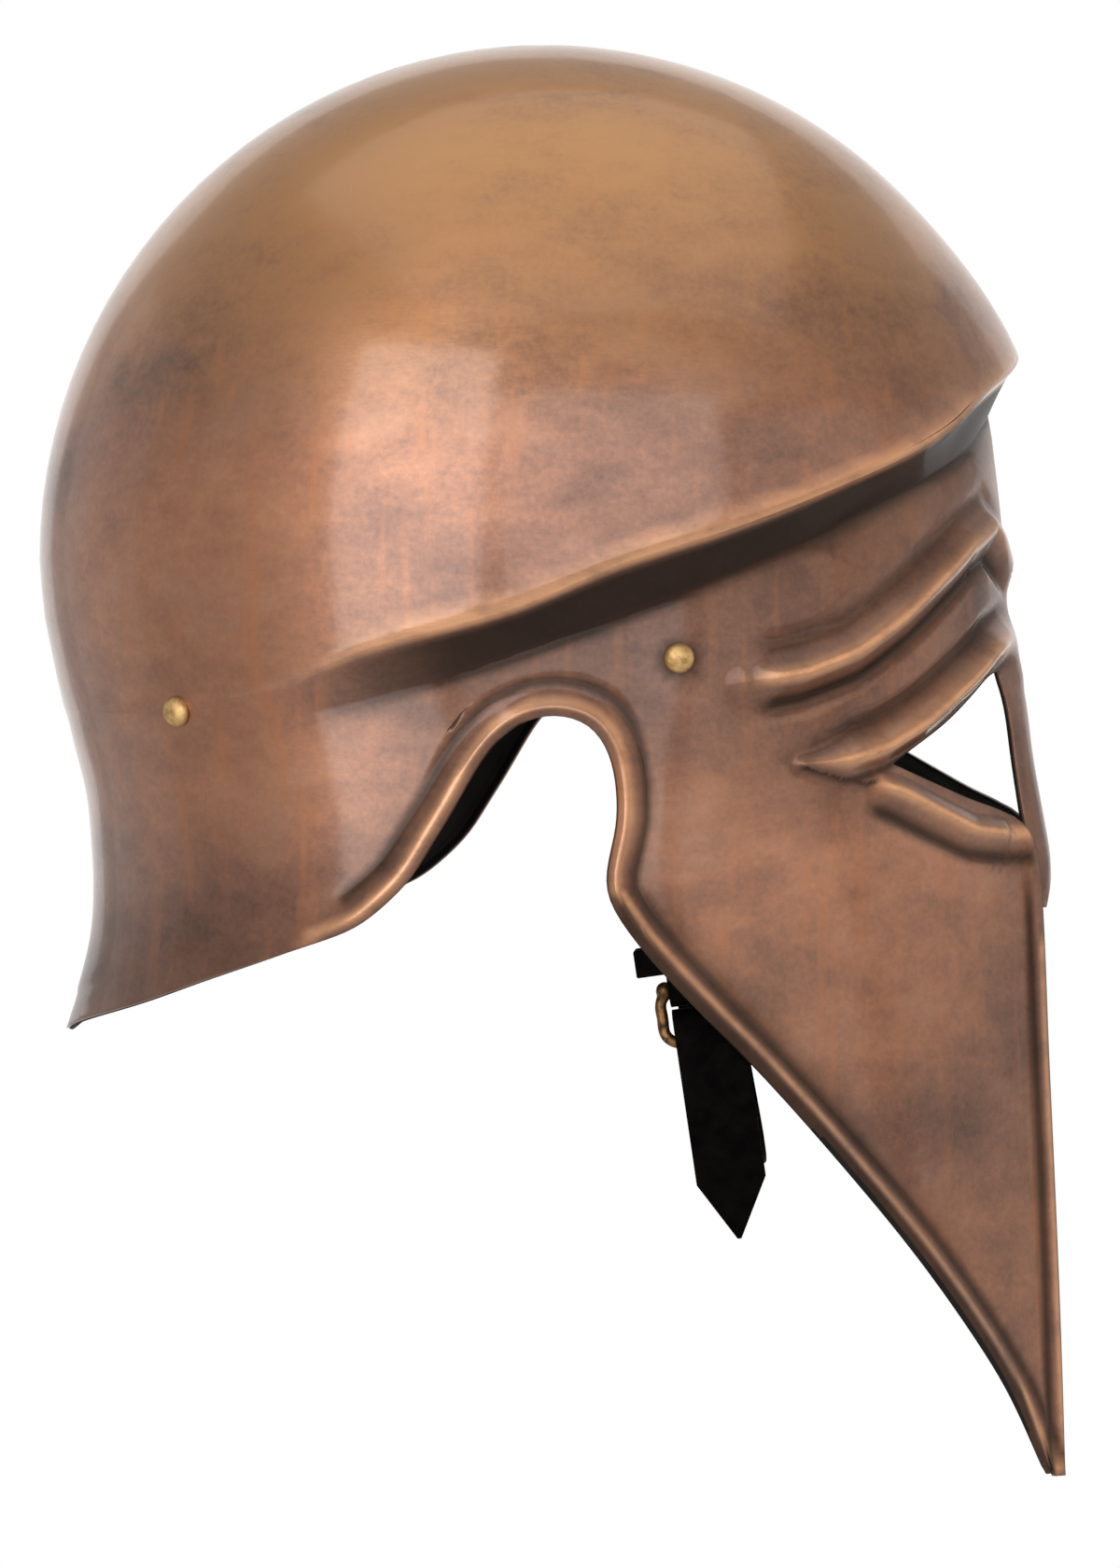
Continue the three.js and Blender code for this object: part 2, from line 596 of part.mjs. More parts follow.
// The strap's way inside the sheet, from the front rivet down: turn, drop, share of the buckle's inset
const INSIDE = [[68.8, 0.47, 0.435], [67.6, 0.53, 0.66], [66.3, 0.58, 0.835]];
const inside = (side) =>
  INSIDE.map(([turn, drop, inset]) => {
    const at = sheetAt(turn, drop);
    const out = new THREE.Vector3(at.x, at.y * 0.75, 0).normalize();
    at.addScaledVector(out, -inset * BUCKLE_INSET);
    return side === "right" ? at : at.multiply(new THREE.Vector3(-1, 1, 1));
  });
// The loop under the chin, from the far side to the buckle's: share of the half width, of the way across
// from front to back, and of the way down
const UNDER_CHIN = [
  [0.94, 0.0, 0.42], [0.85, 0.12, 0.74], [0.55, 0.3, 0.96], [0, 0.55, 1], [-0.55, 0.8, 0.96],
  [-0.86, 0.98, 0.76],
];
// A flat strap against the hollow side of the sheet stands off it by the bow of its width
const STRAP_BOW = (STRAP_WIDTH / 2) ** 2 / (1.5 * HALF);
const strapHead = (side) => {
  const { at, out } = spot(...RIVETS.front, side);
  const deep = WALL + GAP + STRAP_BOW + STRAP_THICK / 2;
  const up = new THREE.Vector3(0, 0, 1);
  up.addScaledVector(out, -up.dot(out)).normalize();
  return [STRAP_WIDTH * 0.45, 0, -STRAP_WIDTH * 0.6].map((high) =>
    at.clone().addScaledVector(out, -deep).addScaledVector(up, high),
  );
};
// The strap's width lies along the sheet at the rivet and turns to the buckle's width further down
const widthWays = (points, side) => {
  const { out } = spot(...RIVETS.front, side);
  const head = new THREE.Vector3(0, 0, 1).cross(out).normalize();
  if (head.y > 0) head.negate();
  const turned = (p) => smooth(STRAP_WIDTH, 4.5 * STRAP_WIDTH, p.distanceTo(points[0]));
  return points.map((p) => head.clone().lerp(across, turned(p)));
};
const alongSpline = (points, count) =>
  new THREE.CatmullRomCurve3(points, false, "centripetal").getSpacedPoints(count);
const turnRound = (radius, centre, from, to, count) =>
  Array.from({ length: count + 1 }, (_, k) => {
    const angle = degToRad(lerp(from, to, k / count));
    return hung(radius * Math.cos(angle), centre - radius * Math.sin(angle));
  });
// The strap's width at a point: its riveted end is round
const rounded = (i, points) => {
  const far = points[i].distanceTo(points[0]);
  const r = STRAP_WIDTH / 2;
  return 2 * Math.sqrt(Math.max(0.1, r * r - Math.max(0, r * 0.9 - far) ** 2));
};

// A strap's middle lies this far from the middle of the bar that it bends round
const RING = BUCKLE_WIRE / 2 + GAP + STRAP_THICK / 2;

// Short strap: riveted at the top, folded round the buckle's upper bar.
function buckleStrap() {
  const close = STRAP_THICK / 2 + GAP / 2;
  const joined = [
    hung(close + GAP, -1.2 * FOLD_BACK), hung(close, -0.6 * FOLD_BACK), hung(RING, -RING * 0.7),
  ];
  const upper = alongSpline([...strapHead("right"), ...inside("right"), ...joined], 18);
  const fold = turnRound(RING, 0, 0, -180, 8);
  const back = alongSpline(
    [hung(-RING, -RING * 0.7), hung(-close, -0.45 * FOLD_BACK), hung(-close, -FOLD_BACK)],
    4,
  );
  const points = [...upper, ...fold, ...back];
  return band(points, widthWays(points, "right"), STRAP_THICK, (i) => rounded(i, points));
}

// Long strap: from the left rivet under the chin, up behind the buckle's lower bar, over it and down to
// its point.
function chinStrap() {
  const top = 2 * RING + STRAP_THICK + 2 * GAP; // the bend lies under the short strap's fold
  const low = -CHIN_DROP * HELMET_HEIGHT;
  const left = inside("left");
  const [far, near] = [left.at(-1), hung(-RING, BUCKLE_HEIGHT + 2 * STRAP_THICK)];
  const under = UNDER_CHIN.map(([wide, share, deep]) => {
    const half = wide > 0 ? far.x : -near.x;
    const forwards = lerp(far.y, near.y, share) - UNDER_LEAN * deep;
    return new THREE.Vector3(wide * half, forwards, lerp(lerp(far.z, near.z, share), low, deep));
  });
  const behind = [near, hung(-RING, BUCKLE_HEIGHT - STRAP_THICK), hung(-RING, top)];
  const loop = alongSpline([...strapHead("left"), ...left, ...under, ...behind], 44);
  const bend = turnRound(RING, top, 180, 0, 8);
  const end = [];
  const straight = BUCKLE_HEIGHT + FREE_END - STRAP_POINT;
  for (let k = 1; k <= 6; k++) end.push(hung(RING, lerp(top, straight, k / 6)));
  end.push(hung(RING, straight + STRAP_POINT));
  const points = [...loop, ...bend, ...end];
  const last = points.length - 1;
  return band(points, widthWays(points, "left"), STRAP_THICK, (i) => (i === last ? 1 : rounded(i, points)));
}

// A ring of round wire with a closed path
function wireRing(points, wire, sides) {
  const path = new THREE.CatmullRomCurve3(points, true, "centripetal");
  const section = new THREE.Shape().absarc(0, 0, wire / 2, 0, 2 * Math.PI);
  return new THREE.ExtrudeGeometry(section, { steps: sides, extrudePath: path, curveSegments: 4 });
}

function buckleFrame() {
  const [w, h, r] = [STRAP_WIDTH / 2 + BUCKLE_SIDE + BUCKLE_WIRE / 2, BUCKLE_HEIGHT, BUCKLE_CORNER];
  const corners = [
    [-w + r, 0], [0, 0], [w - r, 0], [w, r], [w, h / 2], [w, h - r],
    [w - r, h], [0, h], [-w + r, h], [-w, h - r], [-w, h / 2], [-w, r],
  ];
  const ring = wireRing(corners.map(([wide, low]) => hung(0, low, wide)), BUCKLE_WIRE, 40);
  // The wire swells to a ball where the upper bar ends
  const knob = hung(0, 0, -w);
  const points = ring.attributes.position;
  for (let i = 0; i < points.count; i++) {
    const point = new THREE.Vector3().fromBufferAttribute(points, i).sub(knob);
    if (point.length() < BUCKLE_KNOB / 2) point.setLength(BUCKLE_KNOB / 2);
    points.setXYZ(i, ...point.add(knob).toArray());
  }
  return ring;
}

// The prong starts under the upper bar's fold, goes through the strap and ends on the lower bar.
function buckleProng() {
  const from = BUCKLE_WIRE / 2 + GAP + STRAP_THICK + GAP;
  const length = BUCKLE_HEIGHT - BUCKLE_WIRE / 2 - GAP - from;
  const pin = new THREE.CylinderGeometry(PRONG_WIRE / 2, PRONG_WIRE / 2, length, 10);
  return pin.applyMatrix4(standing({ at: hung(0, from + length / 2), out: down }));
}

// A leather loop round both layers of the short strap, over the buckle
function strapKeeper() {
  const outer = STRAP_THICK + GAP + KEEPER_ROOM;
  const half = KEEPER_WIDTH / 2 - KEEPER_THICK;
  const slip = half - STRAP_WIDTH / 2 - GAP; // it has slid to the rear
  const ring = (more) => CORNERS.map(([w, o]) => new THREE.Vector2(w * (half + more), o * (outer + more)));
  const shape = new THREE.Shape(ring(KEEPER_THICK));
  shape.holes.push(new THREE.Path(ring(0).reverse()));
  const solid = new THREE.ExtrudeGeometry(shape, { depth: KEEPER_HEIGHT, bevelEnabled: false });
  const frame = new THREE.Matrix4().makeBasis(across, outward, down);
  return solid.applyMatrix4(frame.setPosition(hung(0, -KEEPER_HEIGHT - KEEPER_RISE, -slip)));
}

let buckleLeather = solidOf(buckleStrap());
let chinLeather = solidOf(chinStrap());
for (const side of ["right", "left"]) {
  for (const [end, where] of Object.entries(RIVETS)) {
    const here = spot(...where, side);
    shell = shell.subtract(shankHole(here));
    if (end === "front" && side === "right") buckleLeather = buckleLeather.subtract(shankHole(here));
    if (end === "front" && side === "left") chinLeather = chinLeather.subtract(shankHole(here));
    const clamped = WALL + (end === "front" ? GAP + STRAP_BOW + STRAP_THICK : 0);
    add(`rivet_${end}_${side}`, rivet(clamped).applyMatrix4(standing(here)), brass);
  }
}
const holeRadius = PRONG_WIRE / 2 + GAP;
const prongHole = new THREE.CylinderGeometry(holeRadius, holeRadius, BUCKLE_HEIGHT - 2 * RING, 10);
prongHole.applyMatrix4(standing({ at: hung(0, BUCKLE_HEIGHT / 2), out: down }));
chinLeather = chinLeather.subtract(solidOf(prongHole));

add("helmet_shell", geometryOf(shell), bronze);
add("buckle_strap", geometryOf(buckleLeather), leather);
add("chin_strap", geometryOf(chinLeather), leather);
add("strap_keeper", strapKeeper(), leather);
add("buckle_frame", buckleFrame(), oldBrass);
add("buckle_prong", buckleProng(), oldBrass);

export default helmet;
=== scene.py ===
"""Italo-Corinthian helmet: a raised, copper-bronzed steel shell with brass rivets and a buckled leather
chin strap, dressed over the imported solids. Metres, +Z up; the face looks along -Y and the wearer's right
is -X.
"""
import math

import bmesh
import bpy
import numpy as np
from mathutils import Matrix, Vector


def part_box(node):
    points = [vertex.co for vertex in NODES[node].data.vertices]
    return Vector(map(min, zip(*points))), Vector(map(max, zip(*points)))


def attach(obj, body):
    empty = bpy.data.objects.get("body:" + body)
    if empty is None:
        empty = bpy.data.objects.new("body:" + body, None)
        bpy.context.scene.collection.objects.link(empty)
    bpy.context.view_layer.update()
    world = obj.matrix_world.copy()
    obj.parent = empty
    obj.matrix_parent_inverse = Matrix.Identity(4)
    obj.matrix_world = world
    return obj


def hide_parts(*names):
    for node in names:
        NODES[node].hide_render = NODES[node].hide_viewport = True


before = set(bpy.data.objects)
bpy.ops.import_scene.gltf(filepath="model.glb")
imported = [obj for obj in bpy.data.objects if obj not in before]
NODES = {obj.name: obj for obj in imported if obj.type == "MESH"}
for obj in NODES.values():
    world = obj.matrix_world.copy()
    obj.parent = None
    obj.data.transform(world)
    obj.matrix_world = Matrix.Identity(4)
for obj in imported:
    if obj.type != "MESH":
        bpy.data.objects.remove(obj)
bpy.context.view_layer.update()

MM = 0.001
RIVETS = ["rivet_front_right", "rivet_front_left", "rivet_rear_right", "rivet_rear_left"]
RIVET_NEAR = 9 * MM  # round a rivet's middle, which takes in the faces of its hole
HOLE_REACH = 1.25 * 2.42 * MM  # from a rivet's axis, which takes in the wall of its hole
BALL_RADIUS = 2.3 * MM  # of the buckle's ball
BALL_NEAR = 2.2 * MM  # from the wire's furthest point, which takes in its round end
WIRE_SHRINK = 0.22 * MM  # that softening takes off the buckle's wire
CUT_EDGE = 0.45 * MM  # rubbed off a strap's edge
SHARP = math.radians(60)  # between faces, from which an edge stays crisp

# The sheet of the helmet in millimetres, as the solids have it
HALF, REACH, HEIGHT, DOME_RISE, WALL = 106.0, 135.0, 383.0, 136.75, 1.5
RISE_SHARE = DOME_RISE / HEIGHT
PEAK = 2.4  # of the front, over the round of the skull
GIRTH = math.radians(1) * 0.9 * (HALF + REACH) / 2  # round the sheet in a degree of turn
RIM_BAND = 10.4  # the worked strip along the free edges
NASAL_SIDE = (15.0, 17.0)  # out from the middle, where the nasal gives way to the lids
TIP, TIP_REACH = -371.5, 8.0  # where the cheeks' tips start to blunt, and how far they reach at most

# Half widths and heights of the ridges on the face, in millimetres
BROW_HALF, BROW_HIGH = 7.4, 3.7
LID_HALF, LID_HIGH = 6.4, 4.0
LEAF_HALF, LEAF_HIGH = 5.0, 0.8
LOWER_LID_HALF, LOWER_LID_HIGH = 5.2, 2.9
ROOT_KEEL = 1.6  # the height of the fold at the nose's root

# Millimetres in from a free edge to the crest of its bead or border, and to the groove beside it
EAR_CREST, CHEEK_CREST, BEAD_GROOVE = 3.0, 4.6, 8.0
FRONT_CREST, FRONT_GROOVE = 1.2, 4.8
SOOT_AND_SHADE_RING = (4.2, 7.5)  # from a rivet's middle, over which its soot and painted shade thin out
GOLD_FROM, GOLD_RISE = -105, 75  # the height at which the crown's golden tone starts, and its rise

# A turn is in degrees from the front (0) to the back (180), a drop a share of the height from the crown.
PEAK_TURN, PEAK_TOP = 26, 0.1  # where the peak ends towards the side, and upwards
WEDGE_TURN = 60  # where the wedge of the face ends
FACE_TO_NAPE = (85, 122)  # over which the face runs into the nape
RIDGE_FADES = (96, 122)  # over which the ridge's shine and its shadow thin out
FOLD_TURN = 9  # where the fold between the brows ends
FACE_TURN, FACE_FRONT = 75, -40  # the face's last turn, and its rearmost place in millimetres
MOST_TURN, MOST_DROP = 6, 0.03  # of one step towards the nearest point

# The marks of the solid's points: across the ridge's step they run from 1 to 2
ABOVE, BELOW = 0.9, 2.1
STEP_ROWS = (0.0, 0.2, 0.6, 1.0)

# Metres: the line inside that the hollow side faces, the zones with finer faces, and the lengths from
# which an edge is cut there and along the lines
HEART_LOW, HEART_TOP = -0.3, -0.13
FINE_REAR, FINE_LOW, FINE_TOP, RIDGE_REAR = -0.045, -0.215, -0.105, 0.075
FACE_EDGE, LINE_EDGE = 1.6 * MM, 1.0 * MM

# drop, width, reach
NAPE = [
    [0.357, 1.0, 0.998], [0.39, 0.995, 0.993], [0.422, 0.985, 0.976], [0.455, 0.965, 0.956],
    [0.488, 0.945, 0.931], [0.52, 0.928, 0.909], [0.553, 0.918, 0.9], [0.585, 0.915, 0.896],
    [0.618, 0.922, 0.902], [0.651, 0.94, 0.924], [0.689, 0.965, 0.959],
]
# drop, width, reach, wedge at the front
FACE = [
    [0.2, 0.86, 0.8, 0.06], [0.251, 0.889, 0.816, 0.06], [0.321, 0.929, 0.84, 0.06],
    [0.357, 0.934, 0.849, 0.06], [0.406, 0.929, 0.85, 0.07], [0.433, 0.925, 0.838, 0.095],
    [0.47, 0.918, 0.805, 0.165], [0.52, 0.91, 0.77, 0.25], [0.544, 0.905, 0.762, 0.275],
    [0.585, 0.896, 0.77, 0.29], [0.683, 0.868, 0.781, 0.295], [0.814, 0.83, 0.8, 0.3],
    [0.945, 0.792, 0.817, 0.305], [1.0, 0.774, 0.825, 0.305],
]
# turn, drop
CREST = [
    [0, 0.2122], [10, 0.2245], [22.6, 0.2417], [34.9, 0.2695], [51.2, 0.3012], [66, 0.3311],
    [78.4, 0.3541], [90.3, 0.384], [105.8, 0.4096], [120, 0.438], [140, 0.455], [180, 0.46],
]
CREASE = [
    [0, 0.2507], [4, 0.2615], [9.1, 0.271], [19.3, 0.2875], [38.1, 0.3171], [59.6, 0.3559],
    [77.8, 0.3911], [90.6, 0.4155], [109.5, 0.4469], [119.9, 0.4639], [140, 0.478], [180, 0.485],
]
BROW_LINE = [
    [0, 0.3585], [5, 0.3455], [10.5, 0.3335], [18.7, 0.3452], [27.6, 0.3677], [35.8, 0.3922],
    [43.7, 0.4142], [51.7, 0.427], [59.7, 0.4332],
]
LID_LINE = [
    [0, 0.41], [6, 0.4105], [12.2, 0.4178], [22.8, 0.4432], [30.1, 0.464], [36.3, 0.4787],
    [42.2, 0.486], [49.5, 0.489],
]
LOWER_LID_LINE = [
    [38.0, 0.501], [31.7, 0.512], [25.8, 0.5253], [19.4, 0.539], [13.5, 0.5432], [8, 0.5445],
    [3, 0.545],
]
NECK_EDGE = [[180, 0.689], [144.8, 0.6558], [132.7, 0.6363], [121.1, 0.618], [115.5, 0.6076]]
EAR_EDGE = [
    [115.5, 0.6076], [110.1, 0.596], [106.9, 0.5802], [104.4, 0.5673], [101.3, 0.5398], [97.9, 0.5124],
    [94.7, 0.4833], [91.5, 0.4642], [87.6, 0.4544], [85.1, 0.4535], [82.6, 0.4556], [80.7, 0.4599],
    [79.4, 0.4661], [78, 0.4772], [77.3, 0.4889], [76.6, 0.505], [76.3, 0.525], [76.9, 0.5395],
    [77.9, 0.5558], [78.2, 0.576],
]
CHEEK_REAR = [
    [78.2, 0.576], [74, 0.6054], [69.3, 0.6311], [63.1, 0.6614], [57, 0.6894], [49.4, 0.729],
    [43.5, 0.7624], [37.7, 0.7961], [32.2, 0.8303], [27.1, 0.8646], [22.3, 0.8992], [17.9, 0.9338],
    [14.8, 0.968], [12.6, 0.9915],
]
LEAF = [[51, 0.4854], [48.7, 0.4914], [43.6, 0.4984], [38.2, 0.5034], [35.8, 0.4995]]
CHEEK_FRONT = [
    [8, 0.5441], [7.9, 0.585], [8.1, 0.65], [8.2, 0.72], [8.4, 0.8], [8.6, 0.87], [8.9, 0.9985],
]
FREE_EDGES = (NECK_EDGE, EAR_EDGE, CHEEK_REAR, CHEEK_FRONT)
# The lines along which the faces get finer, each with how far from it, in millimetres
FINE_LINES = [(LEAF, 5.5), (LID_LINE, 3.0), (BROW_LINE, 3.0), (LOWER_LID_LINE, 3.0)]


def linear(code):
    """A colour socket's value for an sRGB hex code."""
    parts = [int(code[i:i + 2], 16) / 255 for i in (1, 3, 5)]
    return [c / 12.92 if c <= 0.04045 else ((c + 0.055) / 1.055) ** 2.4 for c in parts] + [1]


def node(tree, kind, inputs=None, stops=None, **settings):
    """Adds a node with its settings; an input is a number, an sRGB hex code or another node's output,
    and stops are the places and colours of a colour ramp."""
    made = tree.nodes.new(kind)
    for key, value in settings.items():
        setattr(made, key, value)
    for key, value in (inputs or {}).items():
        found = [n for n, s in enumerate(made.inputs) if key in (n, s.identifier, s.name)]
        socket = made.inputs[found[0]]
        if isinstance(value, bpy.types.NodeSocket):
            tree.links.new(value, socket)
        else:
            socket.default_value = linear(value) if isinstance(value, str) else value
    for i, (place, code) in enumerate(stops or []):
        element = made.color_ramp.elements[i] if i < 2 else made.color_ramp.elements.new(place)
        element.position = place
        element.color = linear(code)
    return made


def blank(name):
    """A material with a bare surface shader, its tree and the shader."""
    material = bpy.data.materials.new(name)
    material.use_nodes = True
    tree = material.node_tree
    tree.nodes.clear()
    shader = node(tree, "ShaderNodeBsdfPrincipled")
    node(tree, "ShaderNodeOutputMaterial", {"Surface": shader.outputs["BSDF"]})
    return material, tree, shader


def copied(source):
    """A merged copy of a CAD node's mesh as a bmesh."""
    mesh = bmesh.new()
    mesh.from_mesh(NODES[source].data)
    bmesh.ops.remove_doubles(mesh, verts=mesh.verts, dist=0.02 * MM)
    return mesh


def finished(name, mesh, materials, source):
    """Makes the piece that stands for a CAD node."""
    data = bpy.data.meshes.new(name)
    mesh.to_mesh(data)
    mesh.free()
    piece = bpy.data.objects.new(name, data)
    bpy.context.scene.collection.objects.link(piece)
    for material in materials:
        data.materials.append(material)
    data.shade_smooth()
    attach(piece, "root")
    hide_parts(source)
    return piece


def subdivided(piece, levels):
    """Softens a piece, the same in the view and in the render."""
    soft = piece.modifiers.new("soft", "SUBSURF")
    soft.levels = soft.render_levels = levels
    soft.use_limit_surface = False
    return piece


def quads(mesh, seams=False):
    """Joins pairs of triangles where they make a fair quad; with seams, never across a seam."""
    bmesh.ops.join_triangles(
        mesh,
        faces=mesh.faces,
        cmp_seam=seams,
        angle_face_threshold=math.radians(50),
        angle_shape_threshold=math.radians(75),
    )


# Camera: the photograph's angle, distance and frame
TARGET = Vector((0, -4.25, -195.25)) * MM
AZIMUTH, ELEVATION, DISTANCE = math.radians(-86.4), math.radians(3.0), 1600 * MM
SENSOR = 36.0
FRAME_HEIGHT = 420 * MM  # of the frame's long side at the target
BACK = Vector((
    math.sin(AZIMUTH) * math.cos(ELEVATION),
    -math.cos(AZIMUTH) * math.cos(ELEVATION),
    math.sin(ELEVATION),
))
camera = bpy.data.objects.new("camera", bpy.data.cameras.new("camera"))
bpy.context.scene.collection.objects.link(camera)
camera.data.sensor_width = SENSOR
camera.data.lens = SENSOR * DISTANCE / FRAME_HEIGHT
camera.data.clip_start, camera.data.clip_end = 0.05, 30
camera.location = TARGET + BACK * DISTANCE
camera.rotation_mode = "QUATERNION"
camera.rotation_quaternion = (-BACK).to_track_quat("-Z", "Y")
bpy.context.scene.camera = camera


def bronzed_steel():
    """Copper-plated steel, oxidised brown in a bath, rubbed back by hand and clear-lacquered: soft browns
    and golds, a satin gloss, copper wear on the crests with a painted highlight over it, and near-black
    painted shade in the grooves."""
    material, tree, shader = blank("bronzed_steel")
    place = node(tree, "ShaderNodeTexCoord").outputs["Object"]
    wear_and_highlight = node(tree, "ShaderNodeAttribute", attribute_name="wear_and_highlight").outputs["Fac"]
    grime_and_shade = node(tree, "ShaderNodeAttribute", attribute_name="grime_and_shade").outputs["Fac"]
    gold = node(tree, "ShaderNodeAttribute", attribute_name="gold").outputs["Fac"]

    # Clouds of patina about 90 mm, 30 mm and 8 mm wide, drawn out from front to back
    drawn = node(tree, "ShaderNodeMapping", {"Vector": place, "Scale": (1.0, 0.55, 1.2)}).outputs[0]
    clouds = node(tree, "ShaderNodeTexNoise", {
        "Vector": drawn, "Scale": 11.0, "Detail": 4.0, "Roughness": 0.5, "Distortion": 0.4,
    }).outputs["Fac"]
    patches = node(tree, "ShaderNodeTexNoise", {
        "Vector": drawn, "Scale": 33.0, "Detail": 6.0, "Roughness": 0.6, "Distortion": 0.3,
    }).outputs["Fac"]
    mottle = node(tree, "ShaderNodeTexNoise", {
        "Vector": drawn, "Scale": 125.0, "Detail": 5.0, "Roughness": 0.68,
    }).outputs["Fac"]
    # Specks and hand-rubbed grain, 0.5 to 2 mm
    specks = node(tree, "ShaderNodeTexNoise", {
        "Vector": place, "Scale": 560.0, "Detail": 4.0, "Roughness": 0.75,
    }).outputs["Fac"]
    tone = 0.0
    for cloud, share in ((clouds, 0.42), (patches, 0.32), (mottle, 0.16), (specks, 0.16)):
        tone = node(tree, "ShaderNodeMath", {
            0: cloud, 1: share, 2: tone,
        }, operation="MULTIPLY_ADD").outputs[0]
    brown = node(tree, "ShaderNodeValToRGB", {"Fac": tone}, stops=[
        (0.39, "#583d30"), (0.69, "#b57d5b"), (0.49, "#7c5543"), (0.57, "#96664c"),
    ]).outputs["Color"]

    # A grey-violet bloom in the thinner patina, and streaks of warm copper that ran down in the bath
    bloom = node(tree, "ShaderNodeMapRange", {
        "Value": patches, "From Min": 0.52, "From Max": 0.72, "To Min": 0.0, "To Max": 0.26,
    }, interpolation_type="SMOOTHSTEP").outputs[0]
    drips = node(tree, "ShaderNodeMapping", {"Vector": place, "Scale": (1.0, 1.0, 0.08)}).outputs[0]
    streaks = node(tree, "ShaderNodeTexNoise", {
        "Vector": drips, "Scale": 150.0, "Detail": 3.0, "Roughness": 0.5,
    }).outputs["Fac"]
    streaks = node(tree, "ShaderNodeMapRange", {
        "Value": streaks, "From Min": 0.54, "From Max": 0.72, "To Min": 0.0, "To Max": 0.8,
    }, interpolation_type="SMOOTHSTEP").outputs[0]
    streaks = node(tree, "ShaderNodeMath", {0: streaks, 1: clouds}, operation="MULTIPLY").outputs[0]
    # The crown is rubbed further, to a golden tan
    gilt = node(tree, "ShaderNodeMapRange", {
        "Value": tone, "From Min": 0.38, "From Max": 0.60, "To Min": 0.25, "To Max": 0.95,
    }, interpolation_type="SMOOTHSTEP").outputs[0]
    gilt = node(tree, "ShaderNodeMath", {0: gilt, 1: gold}, operation="MULTIPLY").outputs[0]
    # Wear shines through the brown where hands and cloths reach it, and a painted highlight lies along the
    # crests and beads
    rubbed_and_highlit = node(tree, "ShaderNodeMapRange", {
        "Value": mottle, "From Min": 0.3, "From Max": 0.6, "To Min": 0.55, "To Max": 1.0,
    }, interpolation_type="SMOOTHSTEP").outputs[0]
    rubbed_and_highlit = node(tree, "ShaderNodeMath", {0: rubbed_and_highlit, 1: wear_and_highlight}, operation="MULTIPLY").outputs[0]
    soot_and_shade = node(tree, "ShaderNodeMath", {0: grime_and_shade, 1: 0.95}, operation="MULTIPLY").outputs[0]
    # The last two layers are wear with a painted highlight, and soot with painted shade
    layers = [
        (bloom, "#806e66"), (streaks, "#a86a42"), (gilt, "#bb8650"),
        (rubbed_and_highlit, "#d09a70"), (soot_and_shade, "#1f1107"),
    ]
    for share, code in layers:
        brown = node(tree, "ShaderNodeMix", {
            "Factor_Float": share, "A_Color": brown, "B_Color": code,
        }, data_type="RGBA").outputs[2]
    tree.links.new(brown, shader.inputs["Base Color"])
    shader.inputs["Metallic"].default_value = 0.85

    rough = node(tree, "ShaderNodeMapRange", {
        "Value": tone, "From Min": 0.38, "From Max": 0.62, "To Min": 0.50, "To Max": 0.36,
    }).outputs[0]
    for paint, share in ((grime_and_shade, 0.2), (wear_and_highlight, -0.06)):
        rough = node(tree, "ShaderNodeMath", {
            0: paint, 1: share, 2: rough,
        }, operation="MULTIPLY_ADD").outputs[0]
    tree.links.new(rough, shader.inputs["Roughness"])
    lacquer = node(tree, "ShaderNodeMath", {
        0: grime_and_shade, 1: -0.65, 2: 0.85,
    }, operation="MULTIPLY_ADD").outputs[0]
    tree.links.new(lacquer, shader.inputs["Coat Weight"])
    shader.inputs["Coat Roughness"].default_value = 0.12

    # Grain of the rubbing wheel, too fine to show at its real 0.1 mm and drawn at 0.6 mm
    lines = node(tree, "ShaderNodeMapping", {"Vector": place, "Scale": (1.0, 0.16, 1.0)}).outputs[0]
    grain = node(tree, "ShaderNodeTexNoise", {
        "Vector": lines, "Scale": 1600.0, "Detail": 2.0, "Roughness": 0.5,
    }).outputs["Fac"]
    # Shallow dents of the planishing hammer, about 35 mm apart
    waves = node(tree, "ShaderNodeTexNoise", {
        "Vector": place, "Scale": 26.0, "Detail": 1.0,
    }).outputs["Fac"]
    bump = node(tree, "ShaderNodeBump", {"Height": grain, "Strength": 0.15, "Distance": 0.2 * MM})
    bump = node(tree, "ShaderNodeBump", {
        "Height": waves, "Strength": 0.22, "Distance": 0.6 * MM, "Normal": bump.outputs[0],
    })
    tree.links.new(bump.outputs[0], shader.inputs["Normal"])
    return material


def blackened_inside():
    """The unpolished hollow side, sprayed matt black over the scale: it swallows nearly all light."""
    material, tree, shader = blank("blackened_inside")
    place = node(tree, "ShaderNodeTexCoord").outputs["Object"]
    spots = node(tree, "ShaderNodeTexNoise", {
        "Vector": place, "Scale": 60.0, "Detail": 5.0,
    }).outputs["Fac"]
    colour = node(tree, "ShaderNodeValToRGB", {"Fac": spots}, stops=[
        (0.35, "#070605"), (0.7, "#14100e"),
    ])
    tree.links.new(colour.outputs["Color"], shader.inputs["Base Color"])
    shader.inputs["Roughness"].default_value = 0.7
    shader.inputs["Specular IOR Level"].default_value = 0.2
    bump = node(tree, "ShaderNodeBump", {"Height": spots, "Strength": 0.3, "Distance": 0.5 * MM})
    tree.links.new(bump.outputs[0], shader.inputs["Normal"])
    return material


